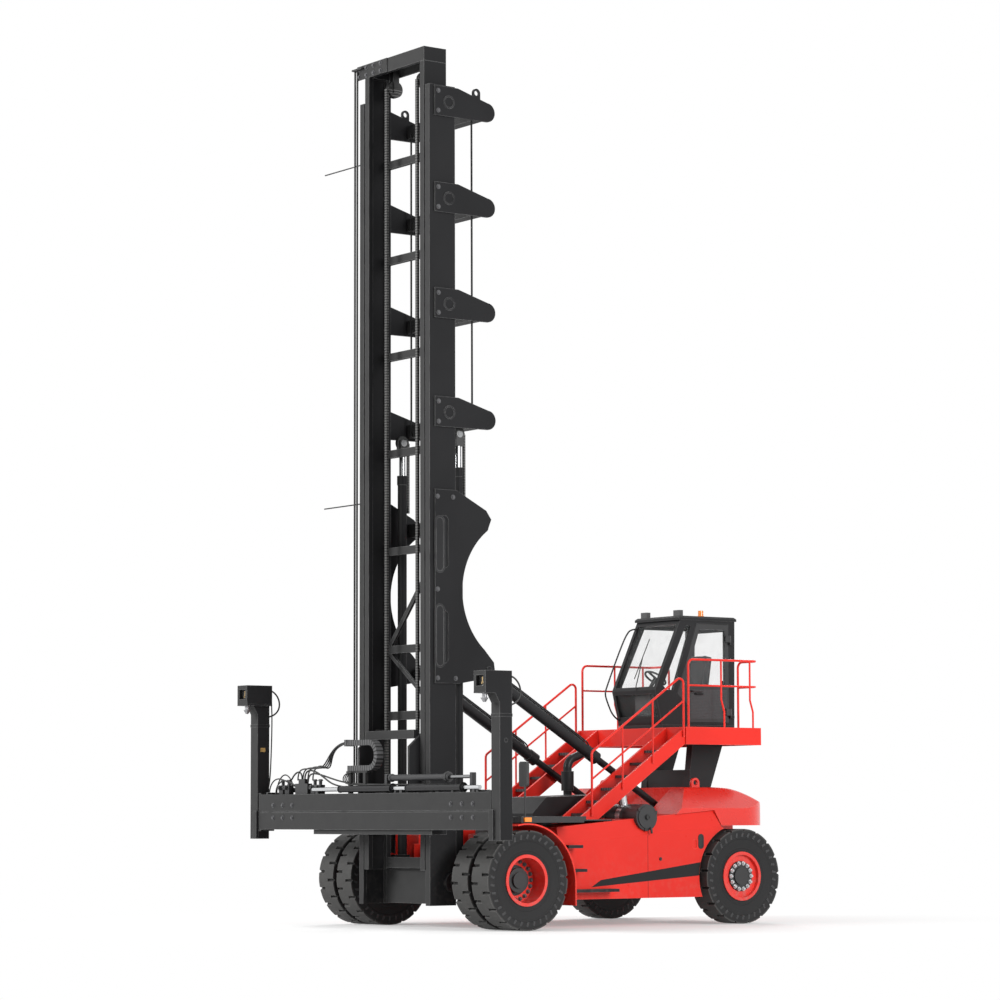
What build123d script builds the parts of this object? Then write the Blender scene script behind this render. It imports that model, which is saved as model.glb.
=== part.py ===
from build123d import *
import math
import os

# Empty container handler. Millimetres, +Z up, front towards -Y, the machine's left towards +X.
# Places along Y are first given from the drive axle, and the finished pieces are moved so that
# the origin lies on the ground under the middle of the whole machine.

# Wheels and axles
TYRE_R = 672
TYRE_W = 360
TYRE_BEAD_HALF = 148
LUG_COUNT = 17
LUG_DEPTH = 38
LUG_SHARE = 0.8
RIB_HALF = 40
RIM_R = 330
RIM_FLANGE_R = 348
RIM_HALF = 164
RIM_WALL = 26
DUAL_PITCH = 458
DRIVE_FACE_X = 2050
WHEELBASE = 4100
STEER_X = 1510
KINGPIN_X = 1270
SPINDLE_R = 70
RUN_GAP = 0.3
MOVE_GAP = 6

# Mast
MAST_FRONT_Y = -772
MAST_FOOT_Z = 323
OUTER_HALF = 862
OUTER_IN = 759
OUTER_WEB = 37
OUTER_REAR_Y = -335
OUTER_FLANGE = 50
INNER_HALF = 735
INNER_IN = 634
INNER_FLANGE = 70
INNER_WEB = 35
INNER_REAR_Y = -394
INNER_FOOT_Z = 800
STUB_R = 158
STUB_X = 815
STUB_Z = (1250, 2250)
HEAD_HALF = 735
HEAD_TOP_Z = 12245
HEAD_DEPTH = 201
INNER_TOP_Z = HEAD_TOP_Z - HEAD_DEPTH
HEAD_PLATE_X = (-920, -166)
INNER_BAR_Z0 = 3815
INNER_BAR_COUNT = 6
INNER_BAR_H = 110
INNER_BAR_TOP_DROP = 1299
INNER_BAR_PITCH = (INNER_TOP_Z - INNER_BAR_TOP_DROP - INNER_BAR_Z0) / (INNER_BAR_COUNT - 1)
STAGE_STEP = 354
OUTER_TOP_Z = INNER_TOP_Z - STAGE_STEP
TILT_PIVOT = (-420, 640)
TILT_PIN_R = 55
BRACKET_X = (875, 935)
HORN_THICK = 30
HORN_DROP = (4800, 3285, 1800, 440)
HORN_Z = tuple(OUTER_TOP_Z - drop for drop in HORN_DROP)
SIDE_PLATE_Z = (3350, 6020)
HORN_FRONT_Y = -700
TIE_Y = (50, 225)
TIE_H = 190

# Lift cylinders and chains
LIFT_X = 683
LIFT_Y = -165
LIFT_BARREL_R = 65
LIFT_ROD_R = 45
LIFT_SHELF_Z = (930, 1000)
LIFT_BARREL_TOP_Z = 6360
LIFT_SHEAVE_Z = 6830
LIFT_SHEAVE_R = 100
CHAIN_X = 380
CHAIN_Y = -640
CHAIN_W = 50
CHAIN_T = 36
CHAIN_END_Z = 1900
HEAD_SHEAVE_R = 130
HOSE_X = -950
HOSE_Y = -800
HOSE_R = 14
PIPE_R = 14

# Tilt cylinders
TILT_X = 720
TILT_MAST_PIN = (200, 3558)
TILT_BASE_PIN = (WHEELBASE - 660, 1605)
TILT_BARREL_R = 80
TILT_ROD_R = 50
TILT_BARREL_LEN = 2350
TILT_EYE_R = 100
TILT_CROSS_PIN_R = 42
TILT_EYE_HALF = 44
TILT_OPEN_GAP = 10

# Carriage and spreader
CARRIAGE_PLATE_X = (590, 628)
CARRIAGE_REAR_Y = -480
CARRIAGE_FRONT_Y = -955
CARRIAGE_Z = (1290, 2750)
ROLLER_R = 111
ROLLER_Z = (1480, 2550)
BEAM_HALF = 2845
BEAM_Y = (-1193, -963)
BEAM_Z = (1354, 1854)
BEAM_WALL = 20
END_PLATE = 55
ARM_GAP = 6
ARM_WALL = 14
ARM_BURIED = 5170
POST_X = (2872, 3060)
POST_Y = (-1200, -1000)
POST_Z = (1220, 3160)
LOCK_X = 2926.5
LOCK_Y = -1349
LOCK_BOX_X = (2800, 3060)
LOCK_BOX_Y = (-1430, -1000)
LOCK_BOX_Z = (3160, 3430)
LOCK_R = 32
RAIL_HALF = 1450
GEAR_PIPE_R = 30

# Chassis and body
FRAME_X = (540, 600)
FRAME_Z = (470, 1150)
BODY_X = 1600
BODY_INNER_X = 700
BODY_BOTTOM_Z = 390
BODY_FRONT_Y = 865.3
BODY_TOP_FRONT_Z = 1381
BODY_TOP_SLOPE = 0.083
ARCH_R = 735
ARCH_TOP_Z = 1392
ARCH_SKIN = 15
WELL_R = 812
WELL_TOP_Z = 1392
SEAM_Y = (WHEELBASE - 450, WHEELBASE - 315)
FENDER_C = (45, 617)
FENDER_R = 800
FENDER_WALL = 20
FENDER_X = (1190, 2000)
FENDER_FOOT_Z = 320
DECK_Z = (1445, 1530)
DECK_X = (640, 1990)
DECK_Y = (-60, 1010)
DECK_REAR_Y = 1400
LIFT_NOTCH_Y = 40
WEIGHT_TOP_Z = 1940
WEIGHT_FLAT_Y = WHEELBASE - 40
WEIGHT_TAIL_Z = 1425
WEIGHT_BROW_R = 120
WEIGHT_REAR_Y = WHEELBASE + 760
WING_X = 950
WING_Y = (WHEELBASE - 1140, WHEELBASE - 530)
HOOD_X = 530
HOOD_Y = (1200, 2600)
HOOD_Z = (1480, 1800)

# Stairs, platform and rails
PLATFORM_X = 1270
PLATFORM_Y = (WHEELBASE - 680, WHEELBASE + 730)
PLATFORM_Z = (2550, 2800)
STAIR_FOOT = (1443, 1461)
STAIR_HEAD_DROP = 4.5
STAIR_SLOPE = (PLATFORM_Z[1] - STAIR_HEAD_DROP - STAIR_FOOT[1]) / (PLATFORM_Y[0] - STAIR_FOOT[0])
STAIR_X = (782, 1244)
STRINGER_T = 38
STRINGER_DROP = 238
TREAD_COUNT = 6
STAIR_GOING = (PLATFORM_Y[0] - STAIR_FOOT[0]) / (TREAD_COUNT + 1.46)
RAIL_R = 17
RAIL_TOP_Z = 3770
RAIL_MID_Z = 3397
RAIL_IN = 30
RAIL_JOG = 55

# Cab
CAB_HALF = 505
CAB_WALL = 45
CAB_FLOOR_T = 50
CAB_Y = PLATFORM_Y[0] + 180
CAB_Z = PLATFORM_Z[1] + CAB_FLOOR_T
CAB_PROFILE = ((0, 0), (-127, 507), (356, 1540), (1395, 1540), (1375, 0))
CAB_H = CAB_PROFILE[2][1]
ROOF_T = 62
ROOF_Y = (325, 1420)
DOOR_GAP = 6
GLASS_T = 8
GLASS_GAP = 0.4
HINGE_R = 9

# The whole machine's front and rear ends give the origin
FRONT_END_Y = LOCK_BOX_Y[0]
REAR_END_Y = CAB_Y + ROOF_Y[1]
ORIGIN_Y = (FRONT_END_Y + REAR_END_Y) / 2


def mid(pair):
    return (pair[0] + pair[1]) / 2


def block(x, y, z):
    """Box between three pairs of limits."""
    return Pos(mid(x), mid(y), mid(z)) * Box(x[1] - x[0], y[1] - y[0], z[1] - z[0])


def bar_x(x, y, z, radius):
    """Round bar along X."""
    return Pos(mid(x), y, z) * Rot(0, 90, 0) * Cylinder(radius, x[1] - x[0])


def bar_z(x, y, z, radius):
    """Round bar along Z."""
    return Pos(x, y, mid(z)) * Cylinder(radius, z[1] - z[0])


def bar(start, end, radius):
    """Round bar between two points."""
    start, end = Vector(*start), Vector(*end)
    along = end - start
    return Plane(origin=(start + end) / 2, z_dir=along) * Cylinder(radius, along.length)


def slab_x(points, x):
    """Flat outline in (y, z) given a thickness along X."""
    return extrude(Plane.YZ.offset(x[0]) * Polygon(*points, align=None), x[1] - x[0], dir=(1, 0, 0))


def slab_y(points, y):
    """Flat outline in (x, z) given a thickness along Y."""
    return extrude(Plane.XZ.offset(-y[0]) * Polygon(*points, align=None), y[1] - y[0], dir=(0, 1, 0))


def slab_z(points, z):
    """Flat outline in (x, y) given a height."""
    return extrude(Plane.XY.offset(z[0]) * Polygon(*points, align=None), z[1] - z[0], dir=(0, 0, 1))


def flip(shape):
    """The same piece on the other side of the machine."""
    return mirror(shape, about=Plane.YZ)


def both(shape):
    return shape + flip(shape)


def tube_path(points, radius, bend):
    """Bent round tube through the points, as one solid bar."""
    path = FilletPolyline(*points, radius=bend)
    return sweep(Plane(origin=path @ 0, z_dir=path % 0) * Circle(radius), path=path)


def mitred_tube(points, radius):
    """Round tube through the points with plain mitred corners."""
    path = Polyline(*points)
    return sweep(Plane(origin=path @ 0, z_dir=path % 0) * Circle(radius), path=path,
                 transition=Transition.RIGHT)


# Wheels

def tyre_ring(radius, shares):
    """Corners round the axle line, one for each share of each lug's step, with the first straight down."""
    step = 2 * math.pi / LUG_COUNT
    turns = [(i + share) * step - math.pi / 2 for i in range(LUG_COUNT) for share in shares]
    return [(radius * math.cos(turn), radius * math.sin(turn)) for turn in turns]


def tyre(x):
    """Tyre with a solid middle rib and slots from both shoulders, one side's halfway between the other's."""
    half = TYRE_W / 2
    step = 2 * math.pi / LUG_COUNT
    slot = 1 - LUG_SHARE
    lug_marks, wall_marks = (0, 0.5 - slot, 0.5, LUG_SHARE), (0, 0.5)
    tread = slab_x(tyre_ring(TYRE_R, lug_marks), (-half, half))
    # a slot is a wedge whose mouth spans one short side of the tread's outline
    floor, mouth = TYRE_R - LUG_DEPTH, TYRE_R * math.cos(slot * step / 2)
    top = TYRE_R + LUG_DEPTH
    wide = TYRE_R * math.sin(slot * step / 2) * (top - floor) / (mouth - floor)
    for side, middle in ((-1, LUG_SHARE + slot / 2), (1, 0.5 - slot / 2)):
        wedge = slab_x(((0, floor), (wide, top), (-wide, top)),
                       sorted((side * RIB_HALF, side * (half + 10))))
        for i in range(LUG_COUNT):
            tread -= Rot(math.degrees((i + middle) * step) - 180, 0, 0) * wedge
    bead = (RIM_R + 0.3) / math.cos(step / 4)
    rings = ((half, floor - 6), (TYRE_BEAD_HALF - 2, bead - 2))
    hollow = [Plane.YZ.offset(ring_x) * Polygon(*tyre_ring(radius, wall_marks), align=None)
              for ring_x, radius in rings]
    scoop = loft(hollow, ruled=True)
    core = slab_x(tyre_ring(bead, wall_marks), (-half - 1, half + 1))
    return Pos(x, 0, TYRE_R) * (tread - scoop - flip(scoop) - core)


def rim_ring(x):
    """Rim barrel with a flange at each edge, open through the middle."""
    inner = RIM_R - RIM_WALL
    profile = Polyline(
        (-RIM_HALF, inner), (-RIM_HALF, RIM_FLANGE_R), (-TYRE_BEAD_HALF - 1, RIM_FLANGE_R),
        (-TYRE_BEAD_HALF - 1, RIM_R), (TYRE_BEAD_HALF + 1, RIM_R), (TYRE_BEAD_HALF + 1, RIM_FLANGE_R),
        (RIM_HALF, RIM_FLANGE_R), (RIM_HALF, inner), close=True)
    return Pos(x, 0, TYRE_R) * revolve(make_face(profile), axis=Axis.X)


DRIVE_OUTER_X = DRIVE_FACE_X - TYRE_W / 2
DRIVE_INNER_X = DRIVE_OUTER_X - DUAL_PITCH
HUB_START_X = DRIVE_INNER_X - TYRE_W / 2 - 5
HUB_R = 165
AXLE_SPINDLE_R = 60


def drive_tyres():
    return tyre(DRIVE_INNER_X) + tyre(DRIVE_OUTER_X)


def drive_rims():
    """Two rims on one deep planetary hub."""
    rims = rim_ring(DRIVE_INNER_X) + rim_ring(DRIVE_OUTER_X)
    spacer = bar_x((DRIVE_INNER_X + RIM_HALF, DRIVE_OUTER_X - RIM_HALF), 0, TYRE_R, RIM_R - 4)
    spacer -= bar_x((DRIVE_INNER_X, DRIVE_OUTER_X), 0, TYRE_R, RIM_R - RIM_WALL)
    disc_x = DRIVE_OUTER_X - RIM_HALF + 20
    disc = bar_x((disc_x, disc_x + 34), 0, TYRE_R, RIM_R - RIM_WALL + 2)
    hub = bar_x((HUB_START_X, disc_x + 120), 0, TYRE_R, HUB_R)
    cap = bar_x((disc_x + 120, disc_x + 150), 0, TYRE_R, HUB_R - 55)
    wheel = rims + spacer + disc + hub + cap
    return wheel - bar_x((HUB_START_X - 1, HUB_START_X + 120), 0, TYRE_R, AXLE_SPINDLE_R + RUN_GAP)


STEER_HUB_START_X = STEER_X - 120


def steer_rim():
    """Rim with a flat nave near its outer edge and a hub that turns on the spindle."""
    disc = bar_x((STEER_X + 78, STEER_X + 112), 0, TYRE_R, RIM_R - RIM_WALL + 2)
    hub = bar_x((STEER_HUB_START_X, STEER_X + 150), 0, TYRE_R, HUB_R - 40)
    plate = bar_x((STEER_X + 112, STEER_X + 132), 0, TYRE_R, HUB_R + 45)
    wheel = rim_ring(STEER_X) + disc + hub + plate
    bore = bar_x((STEER_HUB_START_X - 1, STEER_X + 60), 0, TYRE_R, SPINDLE_R + RUN_GAP)
    return Pos(0, WHEELBASE, 0) * (wheel - bore)


def steer_tyre():
    return Pos(0, WHEELBASE, 0) * tyre(STEER_X)


YOKE_Z = (TYRE_R - 130, TYRE_R + 130)
YOKE_PLATE = 58
YOKE_END_X = 1150
KNUCKLE_R = 60
KINGPIN_R = 40


def knuckle():
    """Steered knuckle: barrel round the kingpin, spindle and a stub flange."""
    barrel = bar_z(KINGPIN_X, WHEELBASE, (YOKE_Z[0] + MOVE_GAP, YOKE_Z[1] - MOVE_GAP), KNUCKLE_R)
    pin = bar_z(KINGPIN_X, WHEELBASE, (YOKE_Z[0] - YOKE_PLATE, YOKE_Z[1] + YOKE_PLATE), KINGPIN_R)
    spindle = bar_x((KINGPIN_X, STEER_X + 58), WHEELBASE, TYRE_R, SPINDLE_R)
    flange = bar_x((KINGPIN_X + 70, STEER_HUB_START_X - MOVE_GAP), WHEELBASE, TYRE_R, SPINDLE_R + 30)
    return barrel + pin + spindle + flange


def steer_axle():
    """Beam under the counterweight with a fork for each kingpin."""
    axle = block((-YOKE_END_X, YOKE_END_X), (WHEELBASE - 105, WHEELBASE + 105), YOKE_Z)
    axle += bar_x((-560, 560), WHEELBASE + 165, TYRE_R, 60)
    axle += block((-420, 420), (WHEELBASE + 100, WHEELBASE + 165), (TYRE_R - 40, TYRE_R + 40))
    for z in ((YOKE_Z[0] - YOKE_PLATE, YOKE_Z[0]), (YOKE_Z[1], YOKE_Z[1] + YOKE_PLATE)):
        arm = block((YOKE_END_X - 250, KINGPIN_X), (WHEELBASE - KNUCKLE_R, WHEELBASE + KNUCKLE_R), z)
        arm += bar_z(KINGPIN_X, WHEELBASE, z, KNUCKLE_R)
        axle += both(arm - bar_z(KINGPIN_X, WHEELBASE, z, KINGPIN_R + RUN_GAP))
    return axle


AXLE_R = 185
AXLE_PAD_Z = (TYRE_R + 100, TYRE_R + 208)


def drive_axle():
    """Axle casing with its round differential, spindles and the two brackets that carry the mast."""
    casing = bar_x((-1120, 1120), 0, TYRE_R, AXLE_R - 25) + bar_x((-480, 480), 0, TYRE_R, AXLE_R)
    casing += Pos(0, 0, TYRE_R) * Sphere(300)
    ends = bar_x((1060, HUB_START_X - MOVE_GAP), 0, TYRE_R, HUB_R)
    ends += bar_x((1060, HUB_START_X + 110), 0, TYRE_R, AXLE_SPINDLE_R)
    pads = block((FRAME_X[0] - 30, FRAME_X[1] + 30), (-150, 150), AXLE_PAD_Z)
    y, z = TILT_PIVOT
    arm = slab_x(((y, z - 135), (150, TYRE_R - 170), (150, TYRE_R + 170), (y, z + 135)), BRACKET_X)
    arm += bar_x(BRACKET_X, y, z, 135)
    arm -= bar_x(BRACKET_X, y, z, TILT_PIN_R + RUN_GAP)
    return casing + both(ends) + both(pads) + both(arm)


# Mast, outer stage

def horn_outline(z):
    """Tapered plate with a round end that reaches back from the column."""
    plate = slab_x(((HORN_FRONT_Y, z), (210, z + 5), (210, z + 275), (-300, z + 420),
                    (HORN_FRONT_Y, z + 420)), (OUTER_HALF, OUTER_HALF + HORN_THICK))
    plate += bar_x((OUTER_HALF, OUTER_HALF + HORN_THICK), 200, z + 140, 135)
    ring = bar_x((OUTER_HALF + HORN_THICK, OUTER_HALF + HORN_THICK + 12), -460, z + 205, 92)
    ring -= bar_x((OUTER_HALF, OUTER_HALF + HORN_THICK + 20), -460, z + 205, 72)
    return plate + ring


def tilt_plate():
    """Large side plate with two horns and a hollow back edge; the lower horn takes the tilt pin."""
    x = (OUTER_HALF, OUTER_HALF + HORN_THICK)
    y, z = TILT_MAST_PIN
    low, high = SIDE_PLATE_Z
    under, over = (130, z + 272), (190, high - 540)
    edge = Polyline(under, (y + 95, z + 95), (y + 110, z - 20), (y + 20, z - 120), (-300, low),
                    (HORN_FRONT_Y, low),
                    (HORN_FRONT_Y, high), (-340, high), (170, high - 260), (255, high - 380), over)
    back = ThreePointArc(over, (-240, (under[1] + over[1]) / 2 - 12), under)
    plate = extrude(Plane.YZ.offset(x[0]) * make_face(edge + back), HORN_THICK, dir=(1, 0, 0))
    slot_y, slot_r, slot_len = -553, 75, 580
    for start in (low + 345, high - 1015):
        slot = block((x[1] - 16, x[1] + 1), (slot_y - slot_r, slot_y + slot_r), (start, start + slot_len))
        for end in (start, start + slot_len):
            slot += bar_x((x[1] - 16, x[1] + 1), slot_y, end, slot_r)
        plate -= slot
    return plate + bar_x((TILT_X - TILT_EYE_HALF - 30, x[1] + 25), y, z, TILT_CROSS_PIN_R)


EYE_R = 36


def mast_horns():
    """Side plates on the outer columns: plates with the tilt pins, horns and lifting eyes."""
    plates = tilt_plate()
    for horn_z in HORN_Z:
        plates += horn_outline(horn_z)
    x = (OUTER_HALF, OUTER_HALF + HORN_THICK)
    eye_z = HORN_Z[-1] + 395
    plates += bar_x(x, 20, eye_z, EYE_R + 28)
    plates += block(x, (20 - EYE_R - 28, 20 + EYE_R + 28), (eye_z - 200, eye_z))
    plates -= bar_x(x, 20, eye_z, EYE_R)
    return both(plates)


def outer_column():
    """Left outer column: channel, lift shelf and pivot pin."""
    z = (MAST_FOOT_Z, OUTER_TOP_Z)
    column = block((OUTER_IN, OUTER_HALF), (MAST_FRONT_Y, OUTER_REAR_Y), z)
    column -= block((OUTER_IN - 1, OUTER_HALF - OUTER_WEB),
                    (MAST_FRONT_Y + 55, OUTER_REAR_Y - OUTER_FLANGE),
                    (MAST_FOOT_Z - 1, OUTER_TOP_Z + 1))
    column += block((FRAME_X[1] + MOVE_GAP + 2, OUTER_HALF), (OUTER_REAR_Y - 5, LIFT_Y + 80), LIFT_SHELF_Z)
    return column + bar_x((OUTER_HALF - 5, BRACKET_X[1] + 8), *TILT_PIVOT, TILT_PIN_R)


def outer_ties():
    """Cross beams between the horns, the foot plate, guide pipes and the two thin arms on the right."""
    tie_x = (-OUTER_HALF, OUTER_HALF)
    pieces = Part()
    for z in (SIDE_PLATE_Z[1] - 560,) + HORN_Z:
        tie = block(tie_x, TIE_Y, (z + 40, z + 40 + TIE_H))
        pieces += tie - block((tie_x[0] + 12, tie_x[1] - 12), (TIE_Y[0] + 25, TIE_Y[1] + 1),
                              (z + 65, z + 15 + TIE_H))
    for side in (-1, 1):
        pieces += bar_z(side * 744, TIE_Y[0] - PIPE_R - RUN_GAP, (HORN_Z[0] + 60, HORN_Z[-1] + 100), PIPE_R)
    pieces += block((-OUTER_IN, OUTER_IN), (OUTER_REAR_Y - 42, OUTER_REAR_Y - 4), (MAST_FOOT_Z + 10, 905))
    for z in (SIDE_PLATE_Z[1] - 70, OUTER_TOP_Z - 860):
        pieces += bar_x((-OUTER_HALF - 1000, -OUTER_HALF), MAST_FRONT_Y + 60, z, 9)
    return pieces


def lift_barrels():
    tube = bar_z(LIFT_X, LIFT_Y, (LIFT_SHELF_Z[1], LIFT_BARREL_TOP_Z), LIFT_BARREL_R)
    gland = bar_z(LIFT_X, LIFT_Y, (LIFT_BARREL_TOP_Z - 130, LIFT_BARREL_TOP_Z), LIFT_BARREL_R + 9)
    tube += gland
    tube -= bar_z(LIFT_X, LIFT_Y, (LIFT_SHELF_Z[1] + 200, LIFT_BARREL_TOP_Z), LIFT_ROD_R + RUN_GAP)
    return both(tube)


def lift_rods():
    """Chrome rods, each with a sheave in a fork and its short length of chain behind."""
    rod = bar_z(LIFT_X, LIFT_Y, (LIFT_SHELF_Z[1] + 360, LIFT_SHEAVE_Z - 60), LIFT_ROD_R)
    fork = block((LIFT_X - 52, LIFT_X + 52), (LIFT_Y - 62, LIFT_Y + 62),
                 (LIFT_SHEAVE_Z - 170, LIFT_SHEAVE_Z + 40))
    fork -= block((LIFT_X - 32, LIFT_X + 32), (LIFT_Y - 70, LIFT_Y + 70),
                  (LIFT_SHEAVE_Z - 105, LIFT_SHEAVE_Z + 50))
    sheave = bar_x((LIFT_X - 26, LIFT_X + 26), LIFT_Y, LIFT_SHEAVE_Z, LIFT_SHEAVE_R)
    axle = bar_x((LIFT_X - 56, LIFT_X + 56), LIFT_Y, LIFT_SHEAVE_Z, 26)
    chain_y = LIFT_Y + LIFT_SHEAVE_R
    chain = block((LIFT_X - 22, LIFT_X + 22), (chain_y - 12, chain_y + 14),
                  (LIFT_SHEAVE_Z - 1000, LIFT_SHEAVE_Z))
    return both(rod + fork + sheave + axle + chain)


# Mast, inner stage

def inner_column():
    """Channel that opens towards the carriage rollers, with stub rollers that run in the outer column."""
    column = block((INNER_IN, INNER_HALF), (MAST_FRONT_Y, INNER_REAR_Y), (INNER_FOOT_Z, INNER_TOP_Z))
    gap_y = (MAST_FRONT_Y + INNER_FLANGE, INNER_REAR_Y - INNER_FLANGE)
    column -= block((INNER_IN - 1, INNER_HALF - INNER_WEB), gap_y, (INNER_FOOT_Z - 1, INNER_TOP_Z + 1))
    stub_y = mid((MAST_FRONT_Y + 55, OUTER_REAR_Y - OUTER_FLANGE))
    for z in STUB_Z:
        column += bar_x((INNER_HALF - 5, STUB_X), stub_y, z, STUB_R)
        column += bar_x((STUB_X, OUTER_HALF - OUTER_WEB - RUN_GAP), stub_y, z, 60)
    return column


BAR_Y = (INNER_REAR_Y - INNER_FLANGE + 2, INNER_REAR_Y)


def inner_ties():
    """Head beam with its bolted plate, ladder bars and the two diagonal braces."""
    head = block((-HEAD_HALF, HEAD_HALF), (MAST_FRONT_Y, INNER_REAR_Y), (INNER_TOP_Z, HEAD_TOP_Z))
    head -= block((-HEAD_HALF + 100, HEAD_HALF - 100), (MAST_FRONT_Y + 60, INNER_REAR_Y - 30),
                  (INNER_TOP_Z - 1, HEAD_TOP_Z - 35))
    head += block(HEAD_PLATE_X, (MAST_FRONT_Y - 14, MAST_FRONT_Y), (INNER_TOP_Z, HEAD_TOP_Z))
    head += block((HEAD_PLATE_X[0] - 60, -HEAD_HALF), (HOSE_Y - 40, MAST_FRONT_Y + 90),
                  (HEAD_TOP_Z - 60, HEAD_TOP_Z - 36))
    pieces = head
    for i in range(INNER_BAR_COUNT):
        z = INNER_BAR_Z0 + i * INNER_BAR_PITCH
        pieces += block((-INNER_IN, INNER_IN), BAR_Y, (z, z + INNER_BAR_H))
    brace_y = (BAR_Y[0] + 14, BAR_Y[1] - 14)
    top = INNER_BAR_Z0
    foot = top - 815
    spans = (((560, -INNER_IN + 90), foot, top),
             ((-INNER_IN + 90, INNER_IN), top + INNER_BAR_H, top + INNER_BAR_PITCH))
    for (start, end), low, high in spans:
        low, high = low + RUN_GAP, high - RUN_GAP
        pieces += slab_y(((start, low), (start - 90, low), (end - 90, high), (end, high)), brace_y)
    pieces += block((-INNER_IN, INNER_IN), BAR_Y, (foot - 120, foot))
    pieces += block((-INNER_IN, INNER_IN), BAR_Y, (INNER_FOOT_Z + 20, INNER_FOOT_Z + 170))
    return pieces


def mast_hoses():
    """Taut hoses that hang from the head plate beside the right column."""
    hoses = Part()
    for x in (HOSE_X, HOSE_X + 60):
        hoses += bar_z(x, HOSE_Y, (1990, HEAD_TOP_Z - 60), HOSE_R)
    return hoses


def lift_chains():
    """Leaf chains from the head sheaves down to the carriage, with their sheaves and hangers."""
    sheave_y = CHAIN_Y + HEAD_SHEAVE_R
    sheave_z = INNER_TOP_Z - 190
    side = block((CHAIN_X - CHAIN_W / 2, CHAIN_X + CHAIN_W / 2),
                 (CHAIN_Y - CHAIN_T / 2, CHAIN_Y + CHAIN_T / 2),
                 (CHAIN_END_Z, sheave_z))
    side += bar_x((CHAIN_X - 40, CHAIN_X + 40), sheave_y, sheave_z, HEAD_SHEAVE_R - 10)
    for x in ((CHAIN_X - 60, CHAIN_X - 40), (CHAIN_X + 40, CHAIN_X + 60)):
        side += block(x, (sheave_y - 45, sheave_y + 45), (sheave_z - 60, INNER_TOP_Z + 166))
    return both(side)


# Tilt cylinders: the barrel hangs on the mast's pin, and the rod runs down to the chassis

def tilt_frame():
    """Directions of the cylinder's line: start at the mast pin, then along and across."""
    dy = TILT_BASE_PIN[0] - TILT_MAST_PIN[0]
    dz = TILT_BASE_PIN[1] - TILT_MAST_PIN[1]
    length = math.hypot(dy, dz)
    return dy / length, dz / length, length


def along_tilt(distance):
    uy, uz, _ = tilt_frame()
    return (TILT_X, TILT_MAST_PIN[0] + uy * distance, TILT_MAST_PIN[1] + uz * distance)


def tilt_barrels():
    eye_x = (TILT_X - TILT_EYE_HALF, TILT_X + TILT_EYE_HALF)
    barrel = bar_x(eye_x, *TILT_MAST_PIN, TILT_EYE_R)
    barrel += bar(along_tilt(60), along_tilt(TILT_BARREL_LEN), TILT_BARREL_R)
    barrel += bar(along_tilt(TILT_BARREL_LEN - 150), along_tilt(TILT_BARREL_LEN), TILT_BARREL_R + 12)
    barrel -= bar_x((eye_x[0] - 1, eye_x[1] + 1), *TILT_MAST_PIN, TILT_CROSS_PIN_R + RUN_GAP)
    barrel -= bar(along_tilt(900), along_tilt(TILT_BARREL_LEN + 1), TILT_ROD_R + RUN_GAP)
    return both(barrel)


def tilt_rods():
    length = tilt_frame()[2]
    rod = bar(along_tilt(1300), along_tilt(length - 60), TILT_ROD_R)
    rod += bar_x((TILT_X - TILT_EYE_HALF, TILT_X + TILT_EYE_HALF), *TILT_BASE_PIN, TILT_EYE_R)
    rod -= bar_x((TILT_X - 80, TILT_X + 80), *TILT_BASE_PIN, TILT_CROSS_PIN_R + TILT_OPEN_GAP)
    return both(rod)


# Carriage and spreader

ROLLER_Y = (MAST_FRONT_Y + INNER_FLANGE + INNER_REAR_Y - INNER_FLANGE) / 2
ROLLER_FACE_X = INNER_HALF - INNER_WEB - MOVE_GAP


def carriage():
    """Side plates with rollers in the inner mast, front plate, cross beams, chain cheeks, lower rail."""
    low, high = CARRIAGE_Z
    cheek = slab_x(((CARRIAGE_FRONT_Y, low), (CARRIAGE_REAR_Y, low), (CARRIAGE_REAR_Y, high),
                    (CARRIAGE_REAR_Y - 170, high), (CARRIAGE_FRONT_Y, high - 260)), CARRIAGE_PLATE_X)
    for z in ROLLER_Z:
        cheek += bar_x((CARRIAGE_PLATE_X[0], ROLLER_FACE_X), ROLLER_Y, z, ROLLER_R)
        cheek += bar_x((ROLLER_FACE_X, INNER_HALF - INNER_WEB - RUN_GAP), ROLLER_Y, z, 45)
    frame = both(cheek)
    inside = (-CARRIAGE_PLATE_X[0], CARRIAGE_PLATE_X[0])
    frame += block((-RAIL_HALF, RAIL_HALF), (CARRIAGE_FRONT_Y, CARRIAGE_FRONT_Y + 45), (low, 1800))
    frame += block(inside, (CARRIAGE_FRONT_Y + 100, CARRIAGE_FRONT_Y + 180), (2600, 2720))
    end = CHAIN_END_Z
    frame += block(inside, (CHAIN_Y - 110, CHAIN_Y - 40), (end - 200, end - 20))
    for x in ((CHAIN_X - 60, CHAIN_X - 31), (CHAIN_X + 31, CHAIN_X + 60)):
        frame += both(block(x, (CHAIN_Y - 60, CHAIN_Y + 40), (end - 200, end + 40)))
    frame += block((-RAIL_HALF, RAIL_HALF), (BEAM_Y[0] + 40, CARRIAGE_FRONT_Y + 45),
                   (low, BEAM_Z[0] - RUN_GAP))
    return frame


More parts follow.
